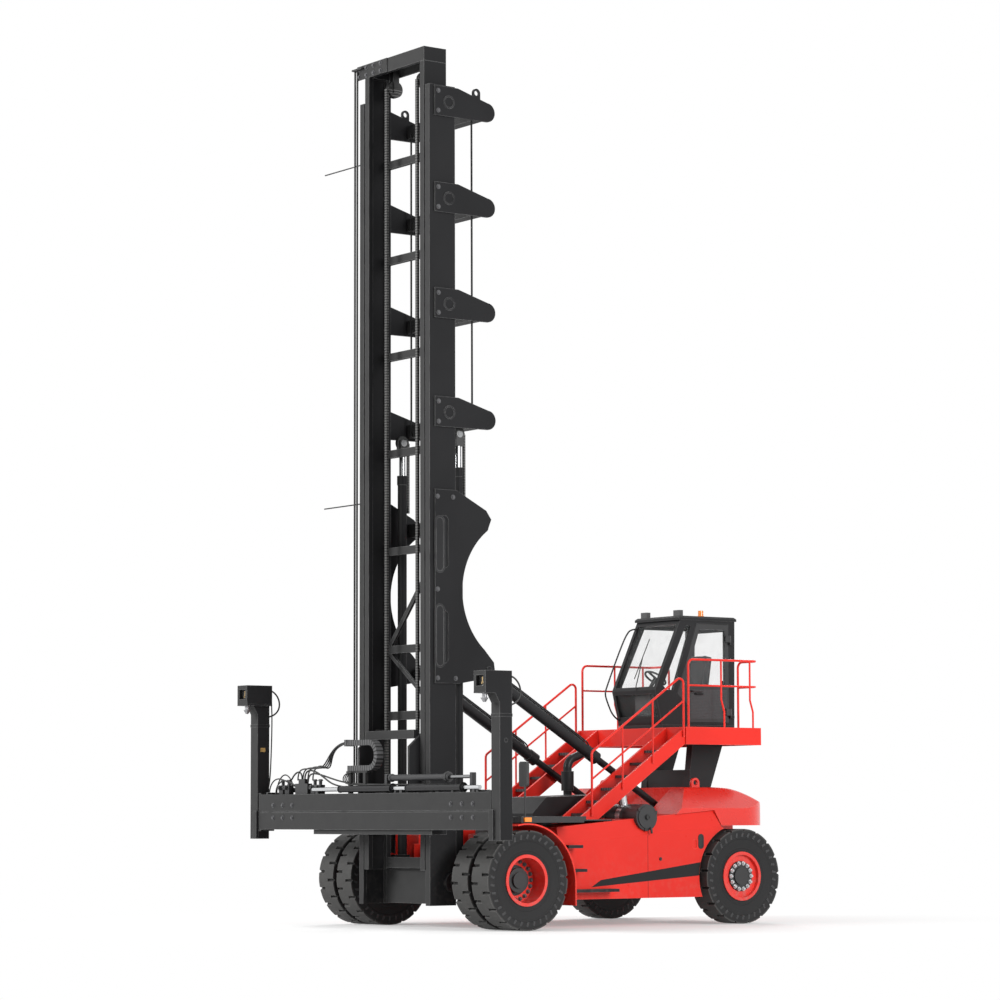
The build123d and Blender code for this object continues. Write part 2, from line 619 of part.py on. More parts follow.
def energy_chain():
    """Link chain lying in a U on a tray over the beam, with a clamp on the end of its upper run."""
    radius, depth, x_end, z_mid, y = 215, 76, -140, 2380, (-1112, -1000)
    long = (x_end - 520, x_end)
    low = z_mid - radius
    chain = block(long, y, (low, low + depth))
    chain += block(long, y, (z_mid + radius - depth, z_mid + radius))
    bend = Cylinder(radius, y[1] - y[0]) - Cylinder(radius - depth, 200)
    bend = Pos(x_end, mid(y), z_mid) * Rot(90, 0, 0) * bend
    chain += bend & block((x_end, x_end + radius), y, (z_mid - radius, z_mid + radius))
    chain += block((long[0] - 40, x_end - 40), (y[0] + 8, y[1] - 8), (low - 24, low))
    for x in (long[0] + 40, x_end - 110):
        chain += block((x - 30, x + 30), (y[0] + 8, y[0] + 58), (BEAM_Z[1], low - 24))
    return chain + block((long[0] - 70, long[0]), (y[0] - 6, y[1]),
                         (z_mid + radius - depth - 8, z_mid + radius + 8))


def spreader_beam():
    """Two stacked box sections in one beam, with end collars and bolt plates."""
    y, z = BEAM_Y, BEAM_Z
    beam = block((-BEAM_HALF, BEAM_HALF), y, z)
    for x in ((-BEAM_HALF, -BEAM_HALF + END_PLATE), (BEAM_HALF - END_PLATE, BEAM_HALF)):
        beam += block(x, (y[0], y[1]), (z[0] - 22, z[1] + 22))
    half = (z[1] - z[0]) / 2
    for low in (z[0], z[0] + half):
        beam -= block((-BEAM_HALF - 1, BEAM_HALF + 1), (y[0] + BEAM_WALL, y[1] - BEAM_WALL),
                      (low + BEAM_WALL, low + half - BEAM_WALL))
    return beam - block((-BEAM_HALF + END_PLATE, BEAM_HALF - END_PLATE), (y[0] - 1, y[0] + 9),
                        (mid(z) - 9, mid(z) + 9))


def spreader_gear():
    """Long pipes in clips and a valve block on top of the beam."""
    top = BEAM_Z[1]
    gear = Part()
    # middle line Y, from and to X
    for y, x in ((-1160, (-1450, 2560)), (-1010, (-2560, 1450))):
        gear += bar_x(x, y, top + 62, GEAR_PIPE_R)
        for foot in (x[0] + 120, mid(x) + 200, x[1] - 120):
            gear += block((foot - 30, foot + 30), (y - 26, y + 26), (top, top + 62))
    gear += block((-1980, -1660), (-1125, -1045), (top, top + 150))
    gear += block((-1900, -1740), (-1120, -1050), (top + 150, top + 215))
    return gear


def chamber(upper):
    """Room for a sliding arm in the beam: pairs of Y and Z limits."""
    half = (BEAM_Z[1] - BEAM_Z[0]) / 2
    low = BEAM_Z[0] + (half if upper else 0)
    return ((BEAM_Y[0] + BEAM_WALL, BEAM_Y[1] - BEAM_WALL), (low + BEAM_WALL, low + half - BEAM_WALL))


def spreader_arm(upper):
    """Left sliding arm with its upright post, guide shoe, foot tab and lock head."""
    y, z = chamber(upper)
    y = (y[0] + ARM_GAP, y[1] - ARM_GAP)
    z = (z[0] + RUN_GAP, z[1] - ARM_GAP)
    start = POST_X[0] - ARM_BURIED
    arm = block((start, POST_X[0] + 5), y, z)
    arm -= block((start - 1, POST_X[0] - 10), (y[0] + ARM_WALL, y[1] - ARM_WALL),
                 (z[0] + ARM_WALL, z[1] - ARM_WALL))
    arm += block(POST_X, POST_Y, POST_Z)
    arm += block((POST_X[0] - 20, POST_X[0] + 70), (POST_Y[0] - 32, POST_Y[0] + 10),
                 (POST_Z[0], POST_Z[0] + 400))
    arm += block((POST_X[0] - 5, POST_X[1] + 4), (POST_Y[0] - 5, POST_Y[1] + 5),
                 (POST_Z[1] - 330, POST_Z[1] - 290))
    head = block(LOCK_BOX_X, LOCK_BOX_Y, LOCK_BOX_Z)
    head += block((LOCK_BOX_X[0] - 4, LOCK_BOX_X[1]), LOCK_BOX_Y, (LOCK_BOX_Z[0] - 24, LOCK_BOX_Z[0]))
    head += slab_x(((POST_Y[0] - 85, POST_Z[1]), (POST_Y[0], POST_Z[1] - 150), (POST_Y[0], POST_Z[1])),
                   POST_X)
    window = block((LOCK_BOX_X[0] + 50, LOCK_BOX_X[1] - 50), (LOCK_BOX_Y[0] - 1, LOCK_BOX_Y[0] + 60),
                   (LOCK_BOX_Z[0] + 70, LOCK_BOX_Z[1] - 60))
    head -= window
    head -= bar_z(LOCK_X, LOCK_Y, (LOCK_BOX_Z[0] - 30, LOCK_BOX_Z[0] + 90), LOCK_R + RUN_GAP)
    return arm + head


def twistlock():
    """Lock pin with its oblong head, turned a quarter turn to grip a corner casting."""
    low = LOCK_BOX_Z[0] - 24
    shank = bar_z(LOCK_X, LOCK_Y, (low - 60, LOCK_BOX_Z[0] + 80), LOCK_R)
    cone = loft(Sketch() + [Pos(0, 0, -58) * Rectangle(34, 22), Rectangle(104, 58)])
    head = Pos(LOCK_X, LOCK_Y, low - 60) * cone
    return shank + head


# Chassis and body

def chassis_frame():
    """Two deep side plates, cross members, front outriggers, tilt cylinder beam and axle seat."""
    low, high = FRAME_Z
    seat = AXLE_PAD_Z[1]
    hang = YOKE_Z[1] + 90
    rise, tail = WHEELBASE - 1020, WHEELBASE + 230
    outline = ((-60, seat), (330, seat), (420, low), (rise, low), (rise + 160, hang), (tail, hang),
               (tail, high), (-60, high))
    frame = both(slab_x(outline, FRAME_X))
    inside = (-FRAME_X[0], FRAME_X[0])
    cross_members = (((60, 100), (985, high)), ((640, 680), (500, 880)),
                     ((rise - 160, rise - 100), (500, high)),
                     ((WHEELBASE - 105, WHEELBASE + 105), (hang, high)),
                     ((640, rise - 100), (low, low + 18)))
    for y, z in cross_members:
        frame += block(inside, y, z)
    frame += block((-260, 260), (WHEELBASE - 100, WHEELBASE + 100), (YOKE_Z[1], hang))
    for y in ((1100, 1160), (2000, 2060), (rise - 120, rise - 40)):
        frame += both(block((FRAME_X[1], BODY_INNER_X), y, (640, 1130)))
    frame += both(block((FRAME_X[1], 1180), (60, 110), (900, 1290)))
    pin_y, pin_z = TILT_BASE_PIN
    beam_y = (pin_y - 80, pin_y + 80)
    frame += block((-880, 880), beam_y, (WELL_TOP_Z + 8, pin_z - TILT_EYE_R - 8))
    frame += both(block(FRAME_X, beam_y, (high, WELL_TOP_Z + 8)))
    for x in ((TILT_X - 90, TILT_X - 52), (TILT_X + 52, TILT_X + 90)):
        lug = block(x, beam_y, (WELL_TOP_Z + 40, pin_z)) + bar_x(x, pin_y, pin_z, 80)
        frame += both(lug)
    return frame + both(bar_x((TILT_X - 98, TILT_X + 98), pin_y, pin_z, TILT_CROSS_PIN_R))


def body_top(y):
    return BODY_TOP_FRONT_Z + (y - BODY_FRONT_Y) * BODY_TOP_SLOPE


AIR_CLEANER_Y = 2400
AIR_CLEANER_Z = 1512
AIR_CLEANER_R = 185


def side_body():
    """Left body: tank box with its outer skin, sloping top edge, rear wheel arch and wheel well."""
    tail = WHEELBASE - 100
    outline = ((BODY_FRONT_Y, BODY_BOTTOM_Z), (tail, BODY_BOTTOM_Z), (tail, 1300),
               (SEAM_Y[1], WELL_TOP_Z - 22),
               (SEAM_Y[0], body_top(SEAM_Y[0])), (BODY_FRONT_Y, BODY_TOP_FRONT_Z))
    tank = slab_x(outline, (BODY_INNER_X, BODY_X - ARCH_SKIN))
    tank -= bar_z(KINGPIN_X, WHEELBASE, (0, WELL_TOP_Z), WELL_R)
    tank -= block((BODY_INNER_X - 1, WING_X), (WHEELBASE - 860, WHEELBASE), (0, 1700))
    skin = slab_x(outline, (BODY_X - ARCH_SKIN, BODY_X))
    arch = bar_x((BODY_X - 40, BODY_X + 10), WHEELBASE, TYRE_R, ARCH_R)
    skin -= arch & block((BODY_X - 60, BODY_X + 60), (WHEELBASE - 1100, WHEELBASE + 900),
                         (-200, ARCH_TOP_Z))
    body = tank + skin
    body -= bar_x((850, BODY_X + 60), AIR_CLEANER_Y, AIR_CLEANER_Z, AIR_CLEANER_R + RUN_GAP)
    bevel = slab_y(((BODY_X, -235), (BODY_X + 90, -235), (BODY_X + 90, 80), (BODY_X - 50, 80),
                    (BODY_X - 50, 40)),
                   (BODY_FRONT_Y - 200, WHEELBASE + 100))
    pitch = math.degrees(math.atan(BODY_TOP_SLOPE))
    body -= Pos(0, BODY_FRONT_Y, BODY_TOP_FRONT_Z) * Rot(pitch, 0, 0) * Pos(0, -BODY_FRONT_Y, 0) * bevel
    slot = Pos(BODY_X, WHEELBASE - 810, 1130) * Rot(0, 90, 0) * RectangleRounded(130, 70, 25)
    return body - extrude(slot, -12, dir=(1, 0, 0))


def counterweight():
    """Cast weight over the steered wheels: sloping wings, falling rear, leaning sides, rounded corners."""
    top, rear, flat = WEIGHT_TOP_Z, WEIGHT_REAR_Y, WEIGHT_FLAT_Y
    fall = top - WEIGHT_TAIL_Z
    radius = ((rear - flat) ** 2 + fall ** 2) / (2 * fall)
    half_turn = math.atan2(rear - flat, radius - fall) / 2
    middle = (flat + radius * math.sin(half_turn), top - radius + radius * math.cos(half_turn))
    start = (WING_Y[0], body_top(WING_Y[0]) + 1)
    front = Polyline(start, (WHEELBASE - 700, top), (flat, top))
    tail = ThreePointArc((flat, top), middle, (rear, WEIGHT_TAIL_Z))
    under = Polyline((rear, WEIGHT_TAIL_Z), (rear, WELL_TOP_Z), (SEAM_Y[1] + 4, WELL_TOP_Z),
                     (SEAM_Y[0] + 4, body_top(SEAM_Y[0]) + 1), start)
    upper = extrude(Plane.YZ.offset(-BODY_X) * make_face(front + tail + under), 2 * BODY_X, dir=(1, 0, 0))
    fore = WING_Y[0] - 60
    plan = Pos(0, mid((fore, rear))) * Rectangle(2 * BODY_X, rear - fore)
    plan = fillet(plan.vertices().group_by(Axis.Y)[-1], 640)
    upper &= extrude(Plane.XY.offset(1300) * plan, 800, dir=(0, 0, 1))
    lean = slab_y(((BODY_X, 1640), (BODY_X + 300, 1640), (BODY_X + 300, 2100), (1240, 2100), (1240, top)),
                  (fore, rear + 20))
    upper -= both(lean)
    on_brow = lambda spot: abs(spot.Z - top) < 1 and abs(abs(spot.X) - 1240) < 1
    brow = [edge for edge in upper.edges() if on_brow(edge.center())]
    upper = fillet(brow, WEIGHT_BROW_R)
    upper -= block((-WING_X, WING_X), (fore, WING_Y[1]), (1300, 2100))
    seat = block((-620, 620), (WHEELBASE - 140, WHEELBASE + 380), (1700, top))
    weight = upper + seat
    eye_y = WHEELBASE - 350
    for side in (-1, 1):
        x = (side * 1050 - 22, side * 1050 + 22)
        eye = bar_x(x, eye_y, top + 62, 72) + block(x, (eye_y - 72, eye_y + 72), (top - 140, top + 62))
        weight += eye - bar_x((x[0] - 9, x[1] + 9), eye_y, top + 66, 40)
    return weight


def ballast_block():
    """Lower casting behind the steered axle, bolted up under the weight, with a tongue over the frame."""
    half = FRAME_X[1] - 20
    behind = WHEELBASE + 240
    lower = block((-half, half), (behind, WEIGHT_REAR_Y), (640, WELL_TOP_Z))
    return lower + block((-half, half), (WING_Y[1] + 20, behind), (FRAME_Z[1] + 0.5, WELL_TOP_Z))


def fender():
    """Bent mudguard over the left drive wheels with an inner wall and a straight foot."""
    y, z = FENDER_C
    x = FENDER_X
    outer = bar_x(x, y, z, FENDER_R + FENDER_WALL)
    outer += block(x, (y, y + FENDER_R + FENDER_WALL), (FENDER_FOOT_Z, z))
    inner = bar_x((x[0] - 1, x[1] + 1), y, z, FENDER_R)
    inner += block((x[0] - 1, x[1] + 1), (y - 10, y + FENDER_R), (FENDER_FOOT_Z - 1, z))
    keep = block(x, (-120, y + FENDER_R + FENDER_WALL), (FENDER_FOOT_Z, z + FENDER_R + FENDER_WALL))
    guard = (outer - inner) & keep
    return guard & block(x, (-120, 900), (FENDER_FOOT_Z, 1440)) - block(x, (-200, 400), (0, 1100))


def deck_plates():
    """Walkway plates over the drive wheels and the landings at the foot of the stairs."""
    side = block(DECK_X, DECK_Y, DECK_Z)
    side += block((DECK_X[0], BODY_X - 70), (DECK_Y[1], DECK_REAR_Y), (DECK_Z[1] - 55, DECK_Z[1]))
    side += block((1100, 1180), (62, 108), (1290, DECK_Z[0]))
    side += block((STAIR_X[0], 1500), (DECK_REAR_Y - 30, 1880), (body_top(1880) + 0.3, DECK_Z[1] - 45))
    side -= block((DECK_X[0] - 1, LIFT_X + LIFT_BARREL_R + 40), (DECK_Y[0] - 1, LIFT_NOTCH_Y),
                  (DECK_Z[0] - 1, DECK_Z[1] + 1))
    return both(side)


def side_steps():
    table = ((1095, (880, 1130)), (770, (880, 1200)), (490, (880, 1760)))
    steps = Part()
    for z, y in table:
        steps += both(block((BODY_X, BODY_X + 210), y, (z, z + 42)))
    return steps


def engine_block():
    return block((-400, 400), (900, 2600), (FRAME_Z[0] + 18.2, 1400))


def engine_hood():
    """Louvred hood over the engine, sloping at its front."""
    y, z = HOOD_Y, HOOD_Z
    outline = ((y[0], z[0]), (y[1], z[0]), (y[1], z[1] + 40), (y[0] + 260, z[1]), (y[0] + 20, z[0] + 90))
    hood = slab_x(outline, (-HOOD_X, HOOD_X))
    hood += block((-HOOD_X + 6, HOOD_X - 6), (y[0] + 80, y[1] - 80), (FRAME_Z[0] + 400, z[0]))
    hood -= block((-410, 410), (y[0] - 400, y[1] + 120), (FRAME_Z[0], 1400.3))
    for i in range(6):
        cut_y = y[0] + 340 + i * 150
        hood -= block((-HOOD_X + 60, HOOD_X - 60), (cut_y, cut_y + 70), (z[1] - 22, z[1] + 90))
    return hood


def air_cleaner():
    """Drum lying in the body's top edge, with a stepped lid."""
    x0, x1 = 900, BODY_X + 25
    drum = bar_x((x0, x1), AIR_CLEANER_Y, AIR_CLEANER_Z, AIR_CLEANER_R)
    drum += bar_x((x1, x1 + 14), AIR_CLEANER_Y, AIR_CLEANER_Z, AIR_CLEANER_R - 30)
    return drum + bar((x0 + 250, AIR_CLEANER_Y, AIR_CLEANER_Z),
                      (x0 + 250, AIR_CLEANER_Y - 60, AIR_CLEANER_Z + 300), 62)


def exhaust():
    """Silencer pipe that rises from the hood and bends back under the platform."""
    x, y, foot = -300, 2480, HOOD_Z[1] + 38.2
    pipe = tube_path(((x, y, foot), (x, y, 2330), (x, y + 420, 2500)), 62, 160)
    return pipe + bar_z(x, y, (foot + 60, 2180), 92)


# Stairs, platform and rails

def stair_edge(y):
    """Height of the stringers' upper edge."""
    return STAIR_FOOT[1] + (y - STAIR_FOOT[0]) * STAIR_SLOPE


def stringer(x):
    foot_z = DECK_Z[1] - 45
    y0 = STAIR_FOOT[0] + (foot_z - STAIR_FOOT[1]) / STAIR_SLOPE
    y1 = y0 + STRINGER_DROP / STAIR_SLOPE
    y2 = PLATFORM_Y[0]
    high = stair_edge(y2)
    return slab_x(((y0, foot_z), (y1, foot_z), (y2, high - STRINGER_DROP), (y2, high)), x)


def stair_stringers():
    outer = stringer((STAIR_X[1] - STRINGER_T, STAIR_X[1]))
    inner = stringer((STAIR_X[0], STAIR_X[0] + STRINGER_T))
    return both(outer + inner)


def stair_treads():
    treads = Part()
    x = (STAIR_X[0] + STRINGER_T, STAIR_X[1] - STRINGER_T)
    for i in range(TREAD_COUNT):
        y = STAIR_FOOT[0] + (i + 0.9) * STAIR_GOING
        z = stair_edge(y) - 50
        treads += both(block(x, (y, y + 215), (z - 40, z)))
    return treads


def platform():
    """Floor with a deep edge band, open under the floor between its beams."""
    x, y, z = PLATFORM_X, PLATFORM_Y, PLATFORM_Z
    deck = block((-x, x), y, z)
    return deck - block((-x + 45, x - 45), (y[0] + 45, y[1] - 45), (z[0] - 1, z[1] - 60))


RAIL_SPAN_Y = (PLATFORM_Y[0] + 70, PLATFORM_Y[1] - RAIL_IN)


def handrails():
    """Guard rails with posts round the platform and a rail up the outside of each stair."""
    x = PLATFORM_X - RAIL_IN
    y0, y1 = RAIL_SPAN_Y
    floor = PLATFORM_Z[1]
    side = tube_path(((x, y0, floor), (x, y0, RAIL_TOP_Z), (x, y1, RAIL_TOP_Z), (800, y1, RAIL_TOP_Z),
                      (800, y1, floor)), RAIL_R, 90)
    side += tube_path(((x, y0, RAIL_MID_Z), (x, y1, RAIL_MID_Z), (800, y1, RAIL_MID_Z)), RAIL_R - 3, 90)
    for y in (mid(RAIL_SPAN_Y) - 40, y1 - 150):
        side += mitred_tube(((x, y + RAIL_JOG, floor), (x, y + RAIL_JOG, floor + 230), (x, y, floor + 400),
                             (x, y, RAIL_TOP_Z)), RAIL_R - 3)
    sx = STAIR_X[1] + RAIL_R + RUN_GAP
    low_y, high_y = STAIR_FOOT[0] + 270, PLATFORM_Y[0] - 40
    rise = lambda y, up: (sx, y, stair_edge(y) + up)
    corners = (rise(low_y, -110), rise(low_y, 780), rise(high_y, 780), rise(high_y, -110))
    stair = tube_path(corners, RAIL_R, 70)
    stair += bar(rise(low_y, 400), rise(high_y, 400), RAIL_R - 3)
    for part in (0.33, 0.66):
        y = low_y + part * (high_y - low_y)
        stair += bar(rise(y, -110), rise(y, 780), RAIL_R - 3)
    return both(side) + both(stair)


def cab_pillar():
    """Portal of two tapered legs under the platform, joined by a cross beam at their feet."""
    low, high = WEIGHT_TOP_Z + RUN_GAP, PLATFORM_Z[1] - 60 - RUN_GAP
    edge = PLATFORM_Z[0]
    y = WHEELBASE
    leg = slab_x(((y - 50, low), (y + 360, low), (y + 590, edge), (y + 590, high), (y + 20, high),
                  (y + 20, edge)), (430, 560))
    beam = block((-560, 560), (y - 30, y + 320), (low, low + 260))
    return both(leg) + beam


# Cab

# Outlines in the cab's own (y, z), from its lower front corner on top of its floor
CAB_DOOR = ((500, 40), (1280, 40), (1280, 1495), (662, 1495), (285, 450), (500, 280))
DOOR_GLASS = ((560, 590), (1200, 590), (1200, 1410), (720, 1410), (420, 590))
QUARTER_GLASS = ((90, 510), (210, 510), (555, 1460), (460, 1460), (25, 570))
REAR_GLASS_Z = (590, 1400)
SCREEN = ((-80, 545), (330, 1475))
FOOT_SCREEN = ((-6, 130), (-87, 455))
SIDE_GLASS = ((90, 550), (1280, 550), (1280, 1440), (460, 1440), (25, 570))
HINGE = (CAB_HALF + 24, 1286)
HINGE_Z = ((150, 250), (1230, 1330))


def in_cab(shape):
    return Pos(0, CAB_Y, CAB_Z) * shape


def cab_shell():
    """Hollow shell of the cab, open at the floor and at the roof."""
    outside = slab_x(CAB_PROFILE, (-CAB_HALF, CAB_HALF))
    room = (-CAB_HALF + CAB_WALL, CAB_HALF - CAB_WALL)
    inside = extrude(Plane.YZ.offset(room[0]) * shrink(CAB_PROFILE, CAB_WALL), room[1] - room[0],
                     dir=(1, 0, 0))
    inside += block(room, (410, 1330), (CAB_H - 100, CAB_H + 1))
    inside += block(room, (50, 1320), (-1, 100))
    return outside - inside


def screen_cutter(edges, grow, depth):
    """Block for a front window, square to that part of the front."""
    (y0, z0), (y1, z1) = edges
    width = CAB_HALF - CAB_WALL - 10 + grow
    lean = math.atan2(z1 - z0, y1 - y0)
    ny, nz = -math.sin(lean), math.cos(lean)
    uy, uz = math.cos(lean), math.sin(lean)
    corners = ((y0 - uy * grow + ny * depth[0], z0 - uz * grow + nz * depth[0]),
               (y1 + uy * grow + ny * depth[0], z1 + uz * grow + nz * depth[0]),
               (y1 + uy * grow + ny * depth[1], z1 + uz * grow + nz * depth[1]),
               (y0 - uy * grow + ny * depth[1], z0 - uz * grow + nz * depth[1]))
    return slab_x(corners, (-width, width))


def cab_frame():
    """Cab shell with its window openings and the door opening cut through, and the door's hinge pins."""
    shell = cab_shell()
    left = (CAB_HALF - CAB_WALL - 1, CAB_HALF + 1)
    shell -= slab_x(CAB_DOOR, left)
    shell -= slab_x(QUARTER_GLASS, left)
    shell -= slab_x(SIDE_GLASS, (-CAB_HALF - 1, -CAB_HALF + CAB_WALL + 1))
    shell -= block((-CAB_HALF + 90, CAB_HALF - 90), (1280, 1500), REAR_GLASS_Z)
    shell -= screen_cutter(SCREEN, 0, (-90, 90)) + screen_cutter(FOOT_SCREEN, 0, (-90, 90))
    for low, high in HINGE_Z:
        lug = block((CAB_HALF - 5, HINGE[0] + 16), (HINGE[1] + 2, HINGE[1] + 60), (low - 40, low))
        lug += bar_z(*HINGE, (low - 40, low), 16)
        shell += lug + bar_z(*HINGE, (low - 40, high), HINGE_R)
    return shell


def shrink(points, amount):
    return offset(Polygon(*points, align=None), -amount, kind=Kind.INTERSECTION)


def cab_glass():
    """Panes in the windscreen, quarter, right side and rear openings."""
    centre = CAB_HALF - CAB_WALL / 2
    depth = (-24, -24 + GLASS_T)
    glass = screen_cutter(SCREEN, -GLASS_GAP, depth) + screen_cutter(FOOT_SCREEN, -GLASS_GAP, depth)
    glass += extrude(Plane.YZ.offset(centre) * shrink(QUARTER_GLASS, GLASS_GAP), GLASS_T, dir=(1, 0, 0))
    glass += extrude(Plane.YZ.offset(-centre) * shrink(SIDE_GLASS, GLASS_GAP), GLASS_T, dir=(1, 0, 0))
    low, high = REAR_GLASS_Z
    wide = CAB_HALF - 90 - GLASS_GAP
    glass += block((-wide, wide), (1355, 1355 + GLASS_T), (low + GLASS_GAP, high - GLASS_GAP))
    return glass


def cab_base():
    """Floor slab that stands on the platform."""
    return block((-CAB_HALF, CAB_HALF), (0, CAB_PROFILE[-1][0]), (-CAB_FLOOR_T, 0))


def cab_roof():
    roof = block((-CAB_HALF - 15, CAB_HALF + 15), ROOF_Y, (CAB_H, CAB_H + ROOF_T))
    return chamfer(roof.edges().group_by(Axis.Z)[-1], 28)


def cab_door():
    """Left door with its window opening, grab handle and hinge straps."""
    x = (CAB_HALF - CAB_WALL, CAB_HALF)
    door = extrude(Plane.YZ.offset(x[0]) * shrink(CAB_DOOR, DOOR_GAP), x[1] - x[0], dir=(1, 0, 0))
    door -= slab_x(DOOR_GLASS, (x[0] - 1, x[1] + 1))
    handle_x = x[1] + 40
    door += bar((handle_x, 550, 500), (handle_x, 750, 500), 11)
    for y in (550, 750):
        door += bar((x[1] - 5, y, 500), (handle_x, y, 500), 11)
    for low, high in HINGE_Z:
        strap = block((CAB_HALF - 5, HINGE[0] + 8), (HINGE[1] - 90, HINGE[1]), (low + 1, high))
        strap += bar_z(*HINGE, (low + 1, high), 16)
        strap -= block((CAB_HALF - 60, CAB_HALF), (HINGE[1] - 12, HINGE[1] + 50), (low, high))
        door += strap - bar_z(*HINGE, (low - 1, high + 1), HINGE_R + RUN_GAP)
    return door


def door_glass():
    x = CAB_HALF - CAB_WALL / 2
    return extrude(Plane.YZ.offset(x) * shrink(DOOR_GLASS, GLASS_GAP), GLASS_T, dir=(1, 0, 0))


def cab_seat():
    seat = block((-170, 170), (730, 1050), (0, 300))
    seat += block((-240, 240), (600, 1100), (300, 440))
    return seat + slab_x(((1000, 430), (1100, 430), (1210, 1060), (1120, 1060)), (-230, 230))


def cab_console():
    desk = slab_x(((60, 0), (200, 0), (160, 560), (40, 470)), (-180, 180))
    column = bar((0, 140, 480), (0, 290, 700), 28)
    wheel = Plane(origin=(0, 290, 700), z_dir=(0, 150, 220))
    return desk + column + wheel * Torus(165, 15) + wheel * Box(330, 50, 12)


def mirrors():
    """Two mirrors on stalks at the front of the deck."""
    stalk = tube_path(((1900, 70, DECK_Z[1]), (1900, 70, 1930), (1860, 95, 2130)), 13, 40)
    head = block((1775, 1945), (60, 108), (1930, 2270))
    head = fillet(head.edges().filter_by(Axis.Y), 40)
    return both(stalk + head)


def lamps():
    """Amber beacon on the roof, work lamps, side markers and rear lamps."""
    roof = CAB_H + ROOF_T
    unit = bar_z(200, 1000, (roof, roof + 30), 48) + bar_z(200, 1000, (roof + 30, roof + 105), 40)
    for x in (-380, 380):
        unit += block((x - 70, x + 70), (ROOF_Y[0] + 60, ROOF_Y[0] + 130), (roof, roof + 85))
    unit = in_cab(unit)
    for x in (-1, 1):
        unit += block(sorted((x * 1990, x * 2022)), (-20, 90), (DECK_Z[0] + 12, DECK_Z[1] - 14))
        unit += block(sorted((x * 560, x * 760)), (WEIGHT_REAR_Y, WEIGHT_REAR_Y + 24), (1400, 1470))
    return unit


LEFT_ONLY = {
    "drive_tyres": drive_tyres, "drive_rims": drive_rims, "steer_tyre": steer_tyre, "steer_rim": steer_rim,
    "knuckle": knuckle, "mast_outer": outer_column, "mast_inner": inner_column,
    "twistlock": twistlock,
}

SINGLE = {
    "chassis_frame": chassis_frame, "drive_axle": drive_axle, "steer_axle": steer_axle,
    "counterweight": counterweight, "engine_block": engine_block, "engine_hood": engine_hood,
    "deck_plates": deck_plates, "side_steps": side_steps, "air_cleaner": air_cleaner, "exhaust": exhaust,
    "stair_stringers": stair_stringers, "stair_treads": stair_treads, "platform": platform,
    "handrails": handrails, "cab_pillar": cab_pillar, "mirrors": mirrors, "lamps": lamps,
    "ballast_block": ballast_block, "mast_horns": mast_horns, "mast_outer_ties": outer_ties,
    "mast_inner_ties": inner_ties, "lift_barrels": lift_barrels, "lift_rods": lift_rods,
    "mast_hoses": mast_hoses,
    "lift_chains": lift_chains, "tilt_barrels": tilt_barrels, "tilt_rods": tilt_rods, "carriage": carriage,
    "energy_chain": energy_chain, "spreader_beam": spreader_beam, "spreader_gear": spreader_gear,
}

CAB_PIECES = {
    "cab_base": cab_base, "cab_frame": cab_frame, "cab_roof": cab_roof, "cab_glass": cab_glass,
    "cab_door": cab_door,
    "door_glass": door_glass, "cab_seat": cab_seat, "cab_console": cab_console,
}


def build():
    """Every node of the machine, by name."""
    nodes = {name: make() for name, make in SINGLE.items()}
    nodes.update({name: in_cab(make()) for name, make in CAB_PIECES.items()})
    nodes["side_bodies"] = both(side_body())
    nodes["fenders"] = both(fender())
    nodes["spreader_arm_left"] = spreader_arm(True)
    nodes["spreader_arm_right"] = flip(spreader_arm(False))
    for name, make in LEFT_ONLY.items():
        left = make()
        nodes[name + "_left"] = left
        nodes[name + "_right"] = flip(left)
    return nodes


def main():
    os.makedirs("parts", exist_ok=True)
    for name, shape in build().items():
        export_step(Pos(0, -ORIGIN_Y, 0) * shape, f"parts/{name}.step")


if __name__ == "__main__":
    main()
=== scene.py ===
"""Dressed model of an empty container handler, laid out as a Blender add-on and run as a script."""

import math

import bpy
from mathutils import Matrix, Vector


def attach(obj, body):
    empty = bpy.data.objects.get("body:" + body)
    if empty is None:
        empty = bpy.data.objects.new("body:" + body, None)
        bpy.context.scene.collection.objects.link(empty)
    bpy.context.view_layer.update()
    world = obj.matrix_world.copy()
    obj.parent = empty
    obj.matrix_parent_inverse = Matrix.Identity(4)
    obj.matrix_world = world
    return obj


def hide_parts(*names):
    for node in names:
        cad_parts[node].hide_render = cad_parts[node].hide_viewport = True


bl_info = {
    "name": "Empty container handler",
    "version": (1, 0, 0),
    "blender": (4, 5, 0),
    "location": "View3D > Sidebar > Handler",
    "description": "Finishes and small fittings for an empty container handler",
    "category": "Object",
}

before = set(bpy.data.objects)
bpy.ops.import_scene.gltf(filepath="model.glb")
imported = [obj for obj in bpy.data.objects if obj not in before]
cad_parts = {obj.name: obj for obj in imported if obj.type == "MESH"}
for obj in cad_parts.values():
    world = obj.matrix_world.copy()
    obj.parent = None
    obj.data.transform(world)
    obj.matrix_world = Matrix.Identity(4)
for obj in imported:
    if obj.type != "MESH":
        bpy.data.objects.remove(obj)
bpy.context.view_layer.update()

# Shared places in metres, AXLE_Y in the machine's frame and the others from the drive axle, and colours
AXLE_Y = -1.795
WHEELBASE = 4.1
STEER_Y = AXLE_Y + WHEELBASE
AXLE_Z = 0.672
BEAM_TOP = 1.852
BEAM_PIPE_Z = 1.916
FRONT_PIPE_Y = -1.16
REAR_PIPE_Y = -1.01
SHIFT_Y = -1.085
SHIFT_Z = 2.06
MAST_SIDE = 0.892
CAB_Y = 3.6
CAB_FLOOR = 2.85
CHAIN_PITCH = 0.019
SIDES = (("left", 1), ("right", -1))
CHROME = (0.3, 0.305, 0.31)
CHAIN_PLATE = (0.085, 0.084, 0.082)
# RED_EDGE is the pale red of corners: part edge wear, part painted highlight.
RED_EDGE = (0.9, 0.19, 0.15)


